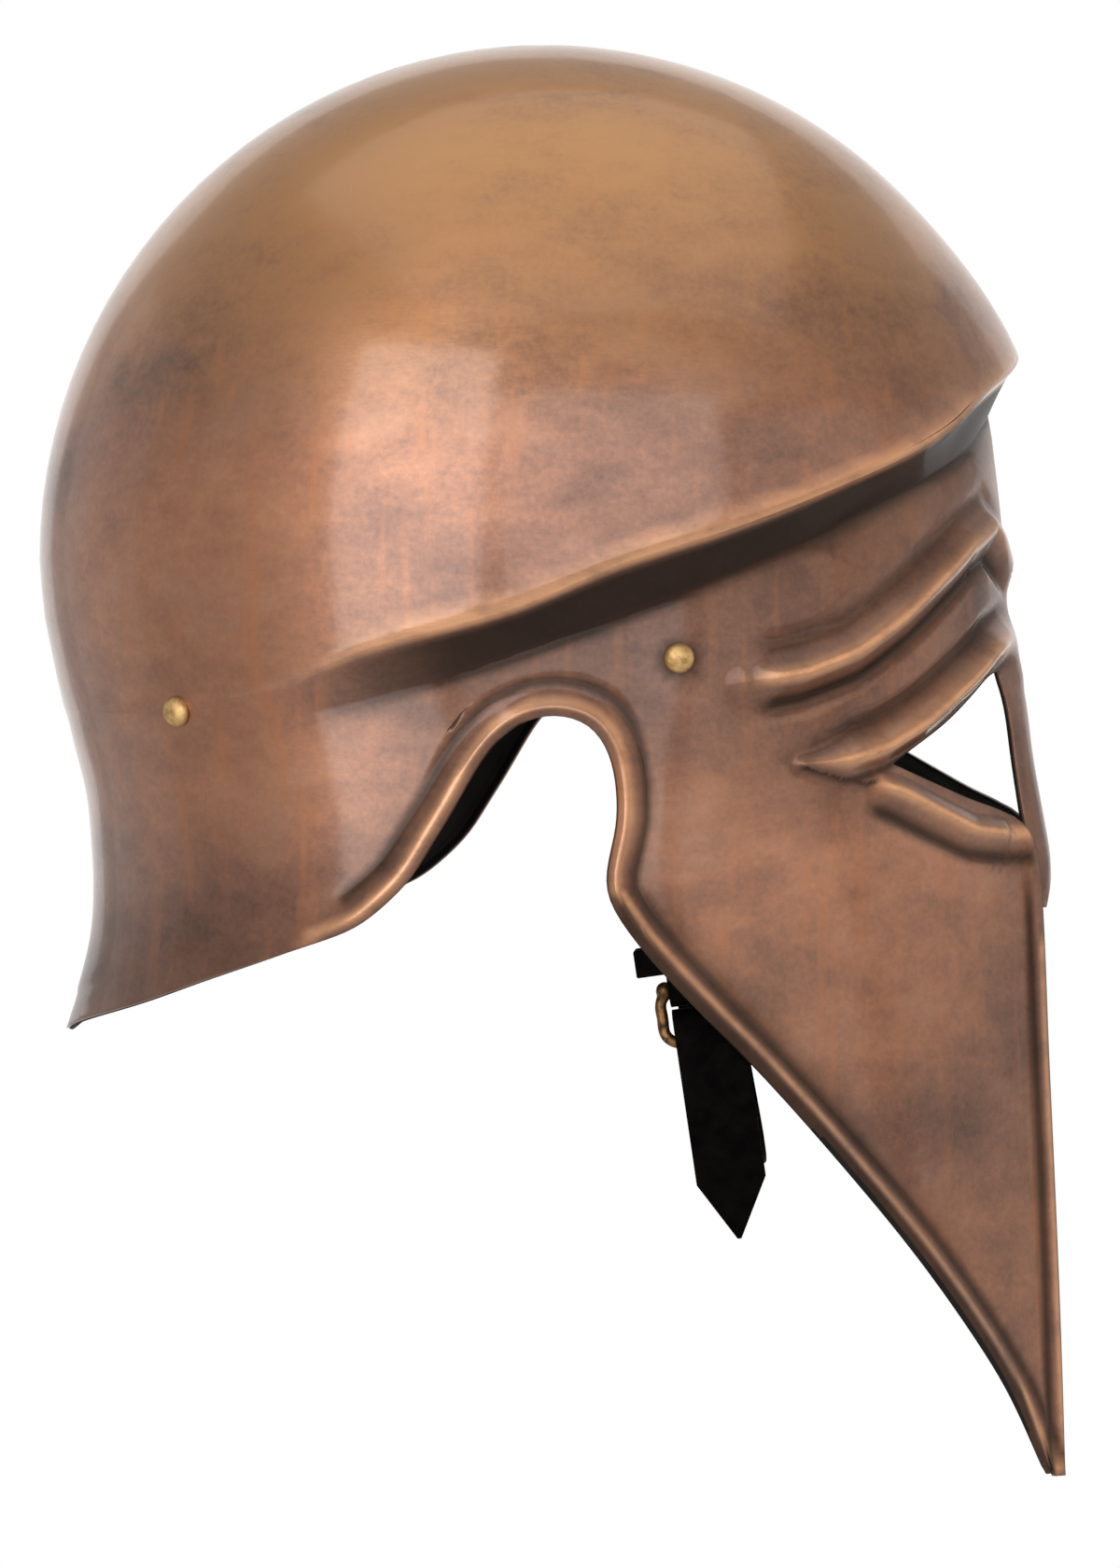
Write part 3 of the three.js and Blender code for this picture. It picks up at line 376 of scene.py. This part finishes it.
def aged_brass(name, bright, dull, rough):
    """Cast or stamped brass left to dull: a soft yellow shine with brown in the hollows."""
    material, tree, shader = blank(name)
    place = node(tree, "ShaderNodeTexCoord").outputs["Object"]
    tarnish = node(tree, "ShaderNodeTexNoise", {
        "Vector": place, "Scale": 380.0, "Detail": 5.0, "Roughness": 0.65,
    }).outputs["Fac"]
    colour = node(tree, "ShaderNodeValToRGB", {"Fac": tarnish}, stops=[
        (0.36, dull), (0.58, bright),
    ])
    tree.links.new(colour.outputs["Color"], shader.inputs["Base Color"])
    shader.inputs["Metallic"].default_value = 0.9
    dulled = node(tree, "ShaderNodeMapRange", {
        "Value": tarnish, "From Min": 0.3, "From Max": 0.7, "To Min": rough + 0.14, "To Max": rough,
    })
    tree.links.new(dulled.outputs[0], shader.inputs["Roughness"])
    bump = node(tree, "ShaderNodeBump", {"Height": tarnish, "Strength": 0.12, "Distance": 0.2 * MM})
    tree.links.new(bump.outputs[0], shader.inputs["Normal"])
    return material


def strap_leather():
    """Drum-dyed black cowhide with a finished grain side: fine pebbles about 0.7 mm apart, and a low
    sheen."""
    material, tree, shader = blank("black_strap_leather")
    place = node(tree, "ShaderNodeTexCoord").outputs["Object"]
    pebbles = node(tree, "ShaderNodeTexVoronoi", {
        "Vector": place, "Scale": 1400.0, "Randomness": 1.0,
    }).outputs["Distance"]
    folds = node(tree, "ShaderNodeTexNoise", {
        "Vector": place, "Scale": 240.0, "Detail": 4.0,
    }).outputs["Fac"]
    colour = node(tree, "ShaderNodeValToRGB", {"Fac": folds}, stops=[
        (0.35, "#020101"), (0.7, "#060504"),
    ])
    tree.links.new(colour.outputs["Color"], shader.inputs["Base Color"])
    worn = node(tree, "ShaderNodeMapRange", {
        "Value": folds, "From Min": 0.3, "From Max": 0.7, "To Min": 0.7, "To Max": 0.58,
    })
    tree.links.new(worn.outputs[0], shader.inputs["Roughness"])
    shader.inputs["Specular IOR Level"].default_value = 0.02
    height = node(tree, "ShaderNodeMath", {
        0: folds, 1: 0.5, 2: pebbles,
    }, operation="MULTIPLY_ADD").outputs[0]
    bump = node(tree, "ShaderNodeBump", {"Height": height, "Strength": 0.35, "Distance": 0.15 * MM})
    tree.links.new(bump.outputs[0], shader.inputs["Normal"])
    return material


BRONZE = bronzed_steel()
INSIDE = blackened_inside()
RIVET_BRASS = aged_brass("aged_rivet_brass", "#c9a672", "#9c7a4c", 0.42)
BUCKLE_BRASS = aged_brass("antique_buckle_brass", "#7e5c39", "#33241a", 0.34)
LEATHER = strap_leather()


def rivet_axis(name):
    """The middle of a rivet's shank and the way along it."""
    points = [v.co for v in NODES[name].data.vertices]
    middle = sum(points, Vector()) / len(points)
    lo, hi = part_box(name)
    return (lo + hi) / 2, Vector((middle.x, middle.y, 0)).normalized()


def close_rivet_holes(mesh):
    """The heads cover their holes, so the skin runs on under them."""
    for name in RIVETS:
        at, out = rivet_axis(name)
        near = [f for f in mesh.faces if (f.calc_center_median() - at).length < RIVET_NEAR]
        wall = [f for f in near if all((v.co - at).cross(out).length < HOLE_REACH for v in f.verts)]
        # A dict keeps the order that a set would lose, so each run gives the same mesh
        edges = list(dict.fromkeys(e for f in wall for e in f.edges))
        bmesh.ops.delete(mesh, geom=wall, context="FACES")
        edges = [e for e in edges if e.is_valid and e.is_boundary]
        ring = dict.fromkeys(v for e in edges for v in e.verts)
        bmesh.ops.holes_fill(mesh, edges=edges, sides=0)
        bmesh.ops.dissolve_verts(mesh, verts=[v for v in ring if v.is_valid])


def smooth(low, high, x):
    """Rises softly from 0 at low to 1 at high."""
    t = np.clip((x - low) / (high - low), 0, 1)
    return t * t * (3 - 2 * t)


def read(table, at, column=1):
    """A column of a table at places between its rows, on a smooth curve through them."""
    rows = np.array(table)
    x, y = rows[:, 0], rows[:, column]
    count = len(x)
    ahead = np.minimum(np.arange(count) + 1, count - 1)
    behind = np.maximum(np.arange(count) - 1, 0)
    slope = (y[ahead] - y[behind]) / (x[ahead] - x[behind])
    i = np.clip(np.searchsorted(x, at) - 1, 0, count - 2)
    gap = x[i + 1] - x[i]
    t = np.clip((at - x[i]) / gap, 0, 1)
    return (
        y[i] * (2 * t**3 - 3 * t**2 + 1)
        + slope[i] * gap * (t**3 - 2 * t**2 + t)
        + y[i + 1] * (3 * t**2 - 2 * t**3)
        + slope[i + 1] * gap * (t**3 - t**2)
    )


def peak(turn, drop):
    """How far the skull's point stands over its round, in millimetres."""
    return PEAK * (1 - smooth(0, PEAK_TURN, turn)) * smooth(PEAK_TOP, CREST[0][1], drop)


def skull(turn, drop):
    """The round of the skull and the nape, without the ridge."""
    down = drop / RISE_SHARE
    dome = np.sqrt(np.clip(1 - (1 - down) ** 2, 0, None))
    wide = np.where(down < 1, dome, read(NAPE, drop, 1))
    deep = np.where(down < 1, dome, read(NAPE, drop, 2))
    s, c = np.sin(np.radians(turn)), np.cos(np.radians(turn))
    front = REACH * deep + peak(turn, drop)
    return np.stack([-HALF * wide * s, -front * c, WALL - drop * HEIGHT], axis=-1)


def sheet(turn, drop):
    """The plain sheet below the ridge: a wedge-shaped face that runs into the nape."""
    s, c = np.sin(np.radians(turn)), np.cos(np.radians(turn))
    wedge = np.clip(1 - np.abs(turn) / WEDGE_TURN, 0, None) ** 2
    deep = REACH * (read(FACE, drop, 2) * c + read(FACE, drop, 3) * wedge)
    face = np.stack([-HALF * read(FACE, drop, 1) * s, -deep, WALL - drop * HEIGHT], axis=-1)
    share = smooth(*FACE_TO_NAPE, turn)[..., None]
    return face * (1 - share) + skull(turn, drop) * share


def step(turn, share, inward=0.86, downward=1.06):
    """The hollow band from the skull's ridge (0) in to the sheet below it (1)."""
    edge = skull(turn, read(CREST, turn))
    foot = sheet(turn, read(CREASE, turn))
    across = (share ** inward)[..., None]
    made = edge * (1 - across) + foot * across
    down = share ** downward
    made[..., 2] = edge[..., 2] * (1 - down) + foot[..., 2] * down
    return made


def solid_step(turn, share):
    """The same band as the solids have it, between the rows of their points."""
    return step(turn, share, 1.0, 0.85)


def outward(surface, turn, second):
    """The surface's outward normal, by small steps either way."""
    around = surface(turn + 0.2, second) - surface(turn - 0.2, second)
    down = surface(turn, second + 0.002) - surface(turn, np.maximum(second - 0.002, 0.0005))
    out = np.cross(around, down)
    return out / np.linalg.norm(out, axis=-1, keepdims=True)


def nearest(surface, points, turn, second, both=True):
    """Turns and drops of the surface's points nearest to the given ones, or their turns alone with the
    drops held."""
    for _ in range(6):
        off = points - surface(turn, second)
        a = (surface(turn + 0.1, second) - surface(turn - 0.1, second)) / 0.2
        aa, ra = (a * a).sum(-1), (a * off).sum(-1)
        if not both:
            turn = np.clip(turn + np.clip(ra / aa, -MOST_TURN, MOST_TURN), 0, 180)
            continue
        b = (surface(turn, second + 0.001) - surface(turn, second - 0.001)) / 0.002
        bb, ab, rb = (b * b).sum(-1), (a * b).sum(-1), (b * off).sum(-1)
        room = np.maximum(aa * bb - ab * ab, 1e-9)
        turn = np.clip(turn + np.clip((ra * bb - rb * ab) / room, -MOST_TURN, MOST_TURN), 0, 180)
        second = second + np.clip((rb * aa - ra * ab) / room, -MOST_DROP, MOST_DROP)
    return turn, second


def span(line, turn, drop):
    """Distance in millimetres from a line on the sheet, the side of it (1 above, -1 below), how far
    along it, and the line's length."""
    at = np.stack([turn * GIRTH, drop * HEIGHT], axis=-1)
    knots = np.array(line) * (GIRTH, HEIGHT)
    best = np.full(turn.shape, np.inf)
    side = np.ones(turn.shape)
    along = np.zeros(turn.shape)
    gone = 0.0
    for a, b in zip(knots[:-1], knots[1:]):
        way = b - a
        t = np.clip(((at - a) @ way) / (way @ way), 0, 1)
        off = at - a - t[..., None] * way
        far = np.linalg.norm(off, axis=-1)
        cross = way[0] * off[..., 1] - way[1] * off[..., 0]
        length = math.hypot(*way)
        closer = far < best
        best = np.where(closer, far, best)
        side = np.where(closer, np.where(cross * math.copysign(1, way[0]) < 0, 1, -1), side)
        along = np.where(closer, gone + t * length, along)
        gone += length
    return best, side, along, gone


def roll(far, half):
    """A rounded ridge's height share: full at its line, nothing beyond its half width."""
    return np.cos(math.pi / 2 * np.clip(far / half, 0, 1)) ** 2


def dip(far, at, half):
    """A rounded groove's or band's share, which runs at a distance from its line."""
    return roll(np.abs(far - at), half)


def brow_relief(turn, drop):
    """The brow's ridge between its two grooves; the two brows meet in a lower, wider fold."""
    aside = smooth(0, FOLD_TURN, turn)
    far, side, along, length = span(BROW_LINE, turn, drop)
    end = 1 - smooth(length - 9, length, along)
    above = side > 0
    crest = roll(far, BROW_HALF + 2.2 * (1 - aside)) ** (1 + 0.25 * aside)
    high = crest * (BROW_HIGH - 1.3 * (1 - aside)) * (0.35 + 0.65 * end)
    high = high - aside * end * dip(far, 8.6, 3.8) * np.where(above, 0.9, 1.7)
    # A painted highlight with wear along the crest, and painted shade in the grooves either side
    worn = roll(far, 3.8) * (0.5 + 0.5 * aside) * (0.1 + 0.9 * end)
    dark = aside * (0.1 + 0.9 * end) * dip(far, 7.8, 4.6) * np.where(above, 0.65, 1.0)
    return high, worn, dark


def lid_relief(turn, drop):
    """The upper lid's ridge; its tail narrows to a leaf-like tip, which overlaps the cheek."""
    far, side, along, length = span(LID_LINE, turn, drop)
    tip = smooth(length - 17, length, along)
    tail = smooth(-3, 12, turn) * (1 - 0.62 * tip)
    wide = LID_HALF * (1 - 0.62 * tip)
    under = side < 0
    groove = np.where(under, 0, dip(far, wide + 1.6, 3.2) * 1.2 * (1 - tip))
    high = tail * (roll(far, wide) * LID_HIGH - groove)
    # A painted highlight with wear along the crest, and painted shade in the grooves above and below it
    worn = tail * roll(far, 0.75 * wide)
    dark = tail * np.where(under, dip(far, wide, 2.4) * 0.9, dip(far, wide + 1, 3.8) * 0.85)

    far, side, along, length = span(LEAF, turn, drop)
    leaf = smooth(0, 5, along) * (1 - smooth(length - 3, length, along))
    cut = np.where(side > 0, 1.0, 1 - smooth(0.0, 3.2, far))
    high = high + leaf * LEAF_HIGH * roll(far, LEAF_HALF) * cut
    # Painted shade below the leaf's edge, where it overlaps the cheek
    dark = np.maximum(dark, leaf * roll(far, 2.4) * np.where(side > 0, 0.35, 0.95))
    return high, worn, dark


def lower_lid_relief(turn, drop):
    """The lower lid's ridge over the groove that parts it from the cheek."""
    far, side, along, _ = span(LOWER_LID_LINE, turn, drop)
    fade = smooth(0, 9, along) * smooth(0.487, 0.497, drop)
    under = side < 0
    groove = np.where(under, dip(far, 6.6, 3.0) * 1.1, 0)
    high = fade * (roll(far, LOWER_LID_HALF) * LOWER_LID_HIGH - groove)
    # A painted highlight with wear along the crest, and painted shade in the groove under it
    worn = fade * roll(far, 3.2)
    dark = fade * np.where(under, dip(far, 6.6, 3.8), 0) * 0.95
    return high, worn, dark


def relief(turn, drop):
    """Height in millimetres of the brow and the lids over the plain sheet, with their shares of wear and
    painted highlight, and of painted shade."""
    ridges = (brow_relief, lid_relief, lower_lid_relief)
    high, worn, dark = zip(*(ridge(turn, drop) for ridge in ridges))
    keel = ROOT_KEEL * (1 - smooth(0, FOLD_TURN, turn)) * smooth(0.385, 0.425, drop)
    total = np.maximum.reduce(high) + np.minimum.reduce(high).clip(None, 0) + keel
    return total, np.maximum.reduce(worn), np.maximum.reduce(dark)


def charted(points):
    """Points in millimetres mirrored to the wearer's right, a first guess of their turns, and their
    drops."""
    right = points * np.where(points[:, :1] > 0, (-1, 1, 1), (1, 1, 1))
    turn = np.degrees(np.arctan2(np.abs(right[:, 0]) / HALF, -right[:, 1] / REACH))
    return right, turn, (WALL - right[:, 2]) / HEIGHT


def helmet_control():
    """The solid's mesh as quads, each point marked with its place across the skull's ridge ("band": 1 on
    the ridge, 2 at the foot of the step below it) and with its side of the wall ("depth": 0 outside, 1
    inside)."""
    mesh = copied("helmet_shell")
    close_rivet_holes(mesh)
    mesh.normal_update()
    band = mesh.verts.layers.float.new("band")
    depth = mesh.verts.layers.float.new("depth")
    for v in mesh.verts:
        heart = Vector((0, 0, max(HEART_LOW, min(v.co.z, HEART_TOP))))
        v[depth] = 0.0 if v.normal.dot(v.co - heart) > 0 else 1.0
    inside = np.array([v[depth] for v in mesh.verts])
    at = np.array([v.co / MM for v in mesh.verts])
    at -= np.array([v.normal for v in mesh.verts]) * inside[:, None] * WALL
    points, first, drop = charted(at)
    turn = nearest(skull, points, first, drop, both=False)[0]
    value = np.where(drop > read(CREST, turn) + 0.004, BELOW, ABOVE)
    best = np.full(len(points), 1.0)  # how near a point must be to its row, in millimetres
    for share in STEP_ROWS:
        row = np.full(len(points), share)
        turn = nearest(solid_step, points, first, row, both=False)[0]
        far = np.linalg.norm(solid_step(turn, row) - points, axis=-1)
        value = np.where(far < best, 1 + share, value)
        best = np.minimum(best, far)
    # A point of the hollow side takes the mark of its partner outside
    outer = np.flatnonzero(inside == 0)
    for i in np.flatnonzero(inside == 1):
        value[i] = value[outer[np.argmin(((points[outer] - points[i]) ** 2).sum(-1))]]
    for v, mark in zip(mesh.verts, value):
        v[band] = mark
    crease = mesh.edges.layers.float.new("crease_edge")
    for edge in mesh.edges:
        a, b = (v[band] for v in edge.verts)
        if abs(a - b) < 0.01 and 0.95 < a < 2.05:
            edge.seam = True
            edge[crease] = 1.0 if a < 1.1 else 0.0
        elif edge.calc_face_angle(0) > SHARP:
            edge[crease] = 0.75
    quads(mesh, seams=True)
    piece = finished("helmet_skin", mesh, [BRONZE, INSIDE], "helmet_shell")
    return subdivided(piece, 2)


def baked(piece):
    """Applies a piece's modifiers."""
    bpy.context.view_layer.update()
    evaluated = piece.evaluated_get(bpy.context.evaluated_depsgraph_get())
    data = bpy.data.meshes.new_from_object(evaluated)
    piece.modifiers.clear()
    piece.data = data
    return piece


def refine(mesh, band, depth):
    """Cuts the outer side finer on the face and at the ridge, and once more along the brow and the
    lids."""
    fine = []
    for face in mesh.faces:
        middle = face.calc_center_median()
        outside = max(v[depth] for v in face.verts) < 0.5
        on_face = middle.y < FINE_REAR and FINE_LOW < middle.z < FINE_TOP
        mark = sum(v[band] for v in face.verts) / len(face.verts)
        at_ridge = 0.94 < mark < 2.03 and middle.y < RIDGE_REAR
        if outside and (on_face or at_ridge):
            fine.append(face)
    edges = dict.fromkeys(e for face in fine for e in face.edges if e.calc_length() > FACE_EDGE)
    bmesh.ops.subdivide_edges(mesh, edges=list(edges), cuts=1, use_grid_fill=True)

    verts = list(mesh.verts)
    points, first, drop = charted(np.array([v.co / MM for v in verts]))
    place = nearest(sheet, points, first, drop)
    room = np.minimum.reduce([span(line, *place)[0] - near for line, near in FINE_LINES])
    close = (room < 0) & (points[:, 1] < FACE_FRONT) & (first < FACE_TURN)
    thin = [v for v, near in zip(verts, close) if near and v[depth] < 0.5]
    edges = dict.fromkeys(e for v in thin for e in v.link_edges if e.calc_length() > LINE_EDGE)
    bmesh.ops.subdivide_edges(mesh, edges=list(edges), cuts=1, use_grid_fill=True)


def on_skull(points, depth, turn, drop):
    """Points above the ridge: their places on the dome or the round below it, and their shares of wear
    with painted highlight, and of painted shade."""
    heart = np.array([0, 0, WALL - DOME_RISE])
    axes = np.array([HALF, REACH, DOME_RISE]) - WALL * depth[:, None]
    ball = (points - heart) / axes
    dome = heart + ball / np.linalg.norm(ball, axis=-1, keepdims=True) * axes
    dome[:, 1] -= peak(turn, drop) * np.cos(np.radians(turn))
    turn = nearest(skull, points, turn, drop, both=False)[0]
    low = skull(turn, drop) - WALL * depth[:, None] * outward(skull, turn, drop)
    places = np.where(points[:, 2:] > heart[2], dome, low)
    # A painted highlight with wear along the ridge's crest
    far = (read(CREST, turn) - drop) * HEIGHT
    worn = np.exp(-((far / 3.0) ** 2)) * (1 - smooth(100, 120, turn))
    return places, worn, np.zeros(len(points))


def on_step(points, depth, turn, share):
    """The same for points between the ridge and the foot of its step."""
    turn = nearest(step, points, turn, share, both=False)[0]
    places = step(turn, share) - WALL * depth[:, None] * outward(step, turn, share)
    fade = 1 - smooth(*RIDGE_FADES, turn)
    # A painted highlight with wear on the ridge's crest, and painted shade in the hollow band below it
    return places, np.exp(-((share / 0.13) ** 2)) * fade, smooth(0.06, 0.26, share) * fade


def on_sheet(points, depth, turn, drop):
    """The same for the face and the nape; along the worked edges and on the nasal the solids' shape
    stays."""
    solid_drop = drop
    turn, drop = nearest(sheet, points, turn, drop)
    high, worn, dark = relief(turn, drop)
    rim = np.minimum.reduce([span(line, turn, drop)[0] for line in FREE_EDGES])
    nasal = smooth(0.43, 0.45, drop) * (1 - smooth(*NASAL_SIDE, -points[:, 0])) * (solid_drop < 0.62)
    nasal = np.where(points[:, 1] < 0, nasal, 0)
    keep = np.maximum(1 - smooth(RIM_BAND - 1.6, RIM_BAND + 0.8, rim), nasal)[:, None]
    crisp = sheet(turn, drop) + outward(sheet, turn, drop) * (high - WALL * depth)[:, None]
    places = crisp * (1 - keep) + points * keep

    # Painted shadow and soot in the corner under the ridge, and a softer painted shade below it
    below = (drop - read(CREASE, turn)) * HEIGHT
    under = 0.9 * np.exp(-((below / 2.6) ** 2)) + 0.36 * np.exp(-((below / 15.0) ** 2))
    dark = np.maximum(dark, np.minimum(under, 0.95) * (1 - smooth(*RIDGE_FADES, turn)))

    # The beads' crests are rubbed bright and carry a painted highlight; painted shade lies in the grooves
    # beside them and on the cheek's outer flank
    ear, _, from_neck, _ = span(EAR_EDGE, turn, drop)
    cheek = span(CHEEK_REAR, turn, drop)[0]
    front = span(CHEEK_FRONT, turn, drop)[0]
    on_cheek = cheek < ear
    border = smooth(0.56, 0.60, drop)
    outside = depth < 0.5
    worn = outside * np.maximum.reduce([
        worn,
        0.75 * dip(ear, EAR_CREST, 2.6),
        0.8 * dip(cheek, CHEEK_CREST, 1.9) * on_cheek,
        0.7 * dip(front, FRONT_CREST, 1.9) * border,
    ])
    dark = np.maximum.reduce([
        dark,
        0.85 * dip(np.minimum(ear, cheek), BEAD_GROOVE, 3.0) * smooth(3, 16, from_neck),
        0.9 * dip(front, FRONT_GROOVE, 2.8) * border,
        0.8 * (1 - smooth(2.2, 4.2, cheek)) * on_cheek,
    ])

    # Darker, browner tone round the eyes, along the free edges, on the cheeks and low on the nape
    tip = smooth(0.74, 0.9, drop)
    shade = np.maximum.reduce([
        0.24 * (1 - smooth(50, 68, turn)) * (1 - smooth(0.50, 0.55, drop)),
        0.24 * (1 - smooth(8, 26, rim)) * (1 - 0.6 * tip),
        0.45 * (1 - smooth(8, 22, cheek)) * (1 - 0.75 * tip),
        0.14 * smooth(0.56, 0.66, drop) * (turn < 90),
        0.42 * smooth(0.54, 0.66, drop) * (turn > 110),
    ])
    dark = dark + shade * (1 - dark) * (1 - 0.8 * worn)
    # A painted highlight with wear along the nasal's middle, over a darker even tone
    keel = 0.5 * roll(np.abs(points[:, 0]), 4.0) * outside
    return places, worn * (1 - nasal) + keel * nasal, dark * (1 - nasal) + 0.3 * nasal


def dress_sheet(piece):
    """Moves each point of the softened copy to the sheet's true round, gives the brow, the lids and the
    skull's ridge their crisp section, and paints wear with painted highlights, grime with painted shade,
    and the golden crown."""
    mesh = bmesh.new()
    mesh.from_mesh(piece.data)
    band = mesh.verts.layers.float["band"]
    depth = mesh.verts.layers.float["depth"]
    refine(mesh, band, depth)
    wear_and_highlight = mesh.verts.layers.float.new("wear_and_highlight")
    grime_and_shade = mesh.verts.layers.float.new("grime_and_shade")
    gold = mesh.verts.layers.float.new("gold")
    verts = list(mesh.verts)
    raw = np.array([v.co / MM for v in verts])
    marks = np.array([v[band] for v in verts])
    depths = np.array([v[depth] for v in verts])
    points, turn, drop = charted(raw)
    moved = points.copy()
    worn, dark = np.zeros(len(verts)), np.zeros(len(verts))
    stepped = (marks >= 1) & (marks <= 2)
    parts = [(on_skull, marks < 1, drop), (on_step, stepped, marks - 1), (on_sheet, marks > 2, drop)]
    for part, these, second in parts:
        found = part(points[these], depths[these], turn[these], second[these])
        moved[these], worn[these], dark[these] = found
    # Soot and painted shade gather round the rivets' heads
    for name in RIVETS:
        far = np.linalg.norm(raw - np.array(rivet_axis(name)[0] / MM), axis=-1)
        soot_and_shade = 0.75 * (1 - smooth(*SOOT_AND_SHADE_RING, far))
        dark = np.where(stepped, dark, np.maximum(dark, soot_and_shade))
    # The cheeks' tips are hammered blunt
    below = np.clip(TIP - moved[:, 2], 0, None)
    moved[:, 2] = np.where(below > 0, TIP - TIP_REACH * np.tanh(below / TIP_REACH), moved[:, 2])

    moved[:, 0] *= np.where(raw[:, 0] > 0, -1.0, 1.0)
    gilt = np.clip((moved[:, 2] - GOLD_FROM) / GOLD_RISE, 0, 1)
    for v, at, *paint in zip(verts, moved, worn, dark, gilt):
        v.co = Vector(at) * MM
        v[wear_and_highlight], v[grime_and_shade], v[gold] = paint
    for face in mesh.faces:
        face.material_index = 1 if sum(v[depth] for v in face.verts) / len(face.verts) > 0.6 else 0
    mesh.to_mesh(piece.data)
    mesh.free()
    return piece


def smooth_copy(name, source, material, levels=2, hold=0.0):
    """A softened copy of a CAD node, with its sharp edges held by a crease."""
    mesh = copied(source)
    quads(mesh)
    if hold:
        crease = mesh.edges.layers.float.new("crease_edge")
        for edge in mesh.edges:
            if edge.calc_face_angle(0) > SHARP:
                edge[crease] = hold
    return subdivided(finished(name, mesh, [material], source), levels)


def swell_wire(piece):
    """Gives the softened buckle wire its full gauge again, and its ball where the upper bar ends."""
    points = [v.co.copy() for v in piece.data.vertices]
    corner = max(points, key=lambda p: p.y + 0.8 * p.z)
    near = [p for p in points if (p - corner).length < BALL_NEAR]
    ball = sum(near, Vector()) / len(near)
    fuller = [v.co + v.normal * WIRE_SHRINK for v in piece.data.vertices]
    for v, at in zip(piece.data.vertices, fuller):
        way = at - ball
        v.co = ball + way.normalized() * max(way.length, BALL_RADIUS)
    return piece


def cut_leather(name, source):
    """A strap with its cut edges rubbed round."""
    mesh = copied(source)
    bmesh.ops.dissolve_limit(mesh, angle_limit=math.radians(0.5), verts=mesh.verts, edges=mesh.edges)
    long = [e for e in mesh.edges if len(e.link_faces) == 2 and e.calc_face_angle(0) > math.radians(45)]
    bmesh.ops.bevel(
        mesh, geom=long, offset=CUT_EDGE, offset_type="OFFSET", segments=2, profile=0.5,
        affect="EDGES", material=-1, clamp_overlap=True,
    )
    piece = finished(name, mesh, [LEATHER], source)
    piece.data.set_sharp_from_angle(angle=math.radians(40))
    return piece


dress_sheet(baked(helmet_control()))
for rivet in RIVETS:
    smooth_copy("dome_" + rivet, rivet, RIVET_BRASS, hold=0.8)
cut_leather("short_strap", "buckle_strap")
cut_leather("long_strap", "chin_strap")
cut_leather("keeper_loop", "strap_keeper")
swell_wire(baked(smooth_copy("buckle_wire", "buckle_frame", BUCKLE_BRASS)))
smooth_copy("buckle_tongue", "buckle_prong", BUCKLE_BRASS, levels=1, hold=0.8)


HEART = Vector((0, 0, -0.15))  # that the light panels face
FLOOR_RADIUS, FLOOR_HEIGHT = 1.05, -0.62
PANELS = [  # name, place, width, height, power, colour
    ("window", (-1.64, 0.73, 0.1), 0.9, 2.1, 21, "#ffffff"),
    ("window_beside", (-1.74, -0.43, 0.1), 1.35, 1.5, 12, "#ffffff"),
    ("front_window", (-0.98, -1.46, 0.0), 1.1, 1.3, 4.2, "#ffeedd"),
    ("front_fill", (0.2, -1.8, -0.1), 1.2, 1.4, 3.0, "#ffeedd"),
    ("top", (-0.3, -0.1, 1.6), 2.4, 2.4, 10, "#ffffff"),
    ("backdrop", (1.9, 0.0, 0.1), 3.4, 2.4, 14, "#ffffff"),
    ("rear_side", (0.5, 1.7, 0.0), 1.2, 1.6, 1.5, "#ffffff"),
]


def panel(name, place, width, height, power, colour):
    """A light panel of the tent, turned to the helmet."""
    light = bpy.data.lights.new(name, "AREA")
    light.shape = "RECTANGLE"
    light.color = linear(colour)[:3]
    light.size, light.size_y = width, height
    light.energy = power
    made = bpy.data.objects.new(name, light)
    bpy.context.scene.collection.objects.link(made)
    made.location = place
    made.rotation_mode = "QUATERNION"
    made.rotation_quaternion = (HEART - Vector(place)).to_track_quat("-Z", "Y")


def studio():
    """The stage: a pale matt floor below the cheek tips, and a light tent round it."""
    mesh = bmesh.new()
    bmesh.ops.create_circle(mesh, cap_ends=True, radius=FLOOR_RADIUS, segments=96)
    bmesh.ops.translate(mesh, verts=mesh.verts, vec=(0, 0, FLOOR_HEIGHT))
    data = bpy.data.meshes.new("floor")
    mesh.to_mesh(data)
    mesh.free()
    floor = bpy.data.objects.new("floor", data)
    bpy.context.scene.collection.objects.link(floor)
    material, tree, shader = blank("pale_floor")
    shader.inputs["Base Color"].default_value = linear("#e6e4e1")
    shader.inputs["Roughness"].default_value = 0.9
    data.materials.append(material)

    world = bpy.data.worlds.new("tent")
    world.use_nodes = True
    bpy.context.scene.world = world
    tree = world.node_tree
    tree.nodes.clear()
    seen = node(tree, "ShaderNodeLightPath").outputs["Is Camera Ray"]
    tent = node(tree, "ShaderNodeBackground", {"Color": linear("#fbfaf9"), "Strength": 0.48})
    plain = node(tree, "ShaderNodeBackground", {"Color": linear("#ffffff"), "Strength": 1.0})
    mixed = node(tree, "ShaderNodeMixShader", {0: seen, 1: tent.outputs[0], 2: plain.outputs[0]})
    node(tree, "ShaderNodeOutputWorld", {"Surface": mixed.outputs[0]})

    for light in PANELS:
        panel(*light)
    scene = bpy.context.scene
    scene.view_settings.view_transform = "Standard"
    scene.view_settings.look = "None"


studio()
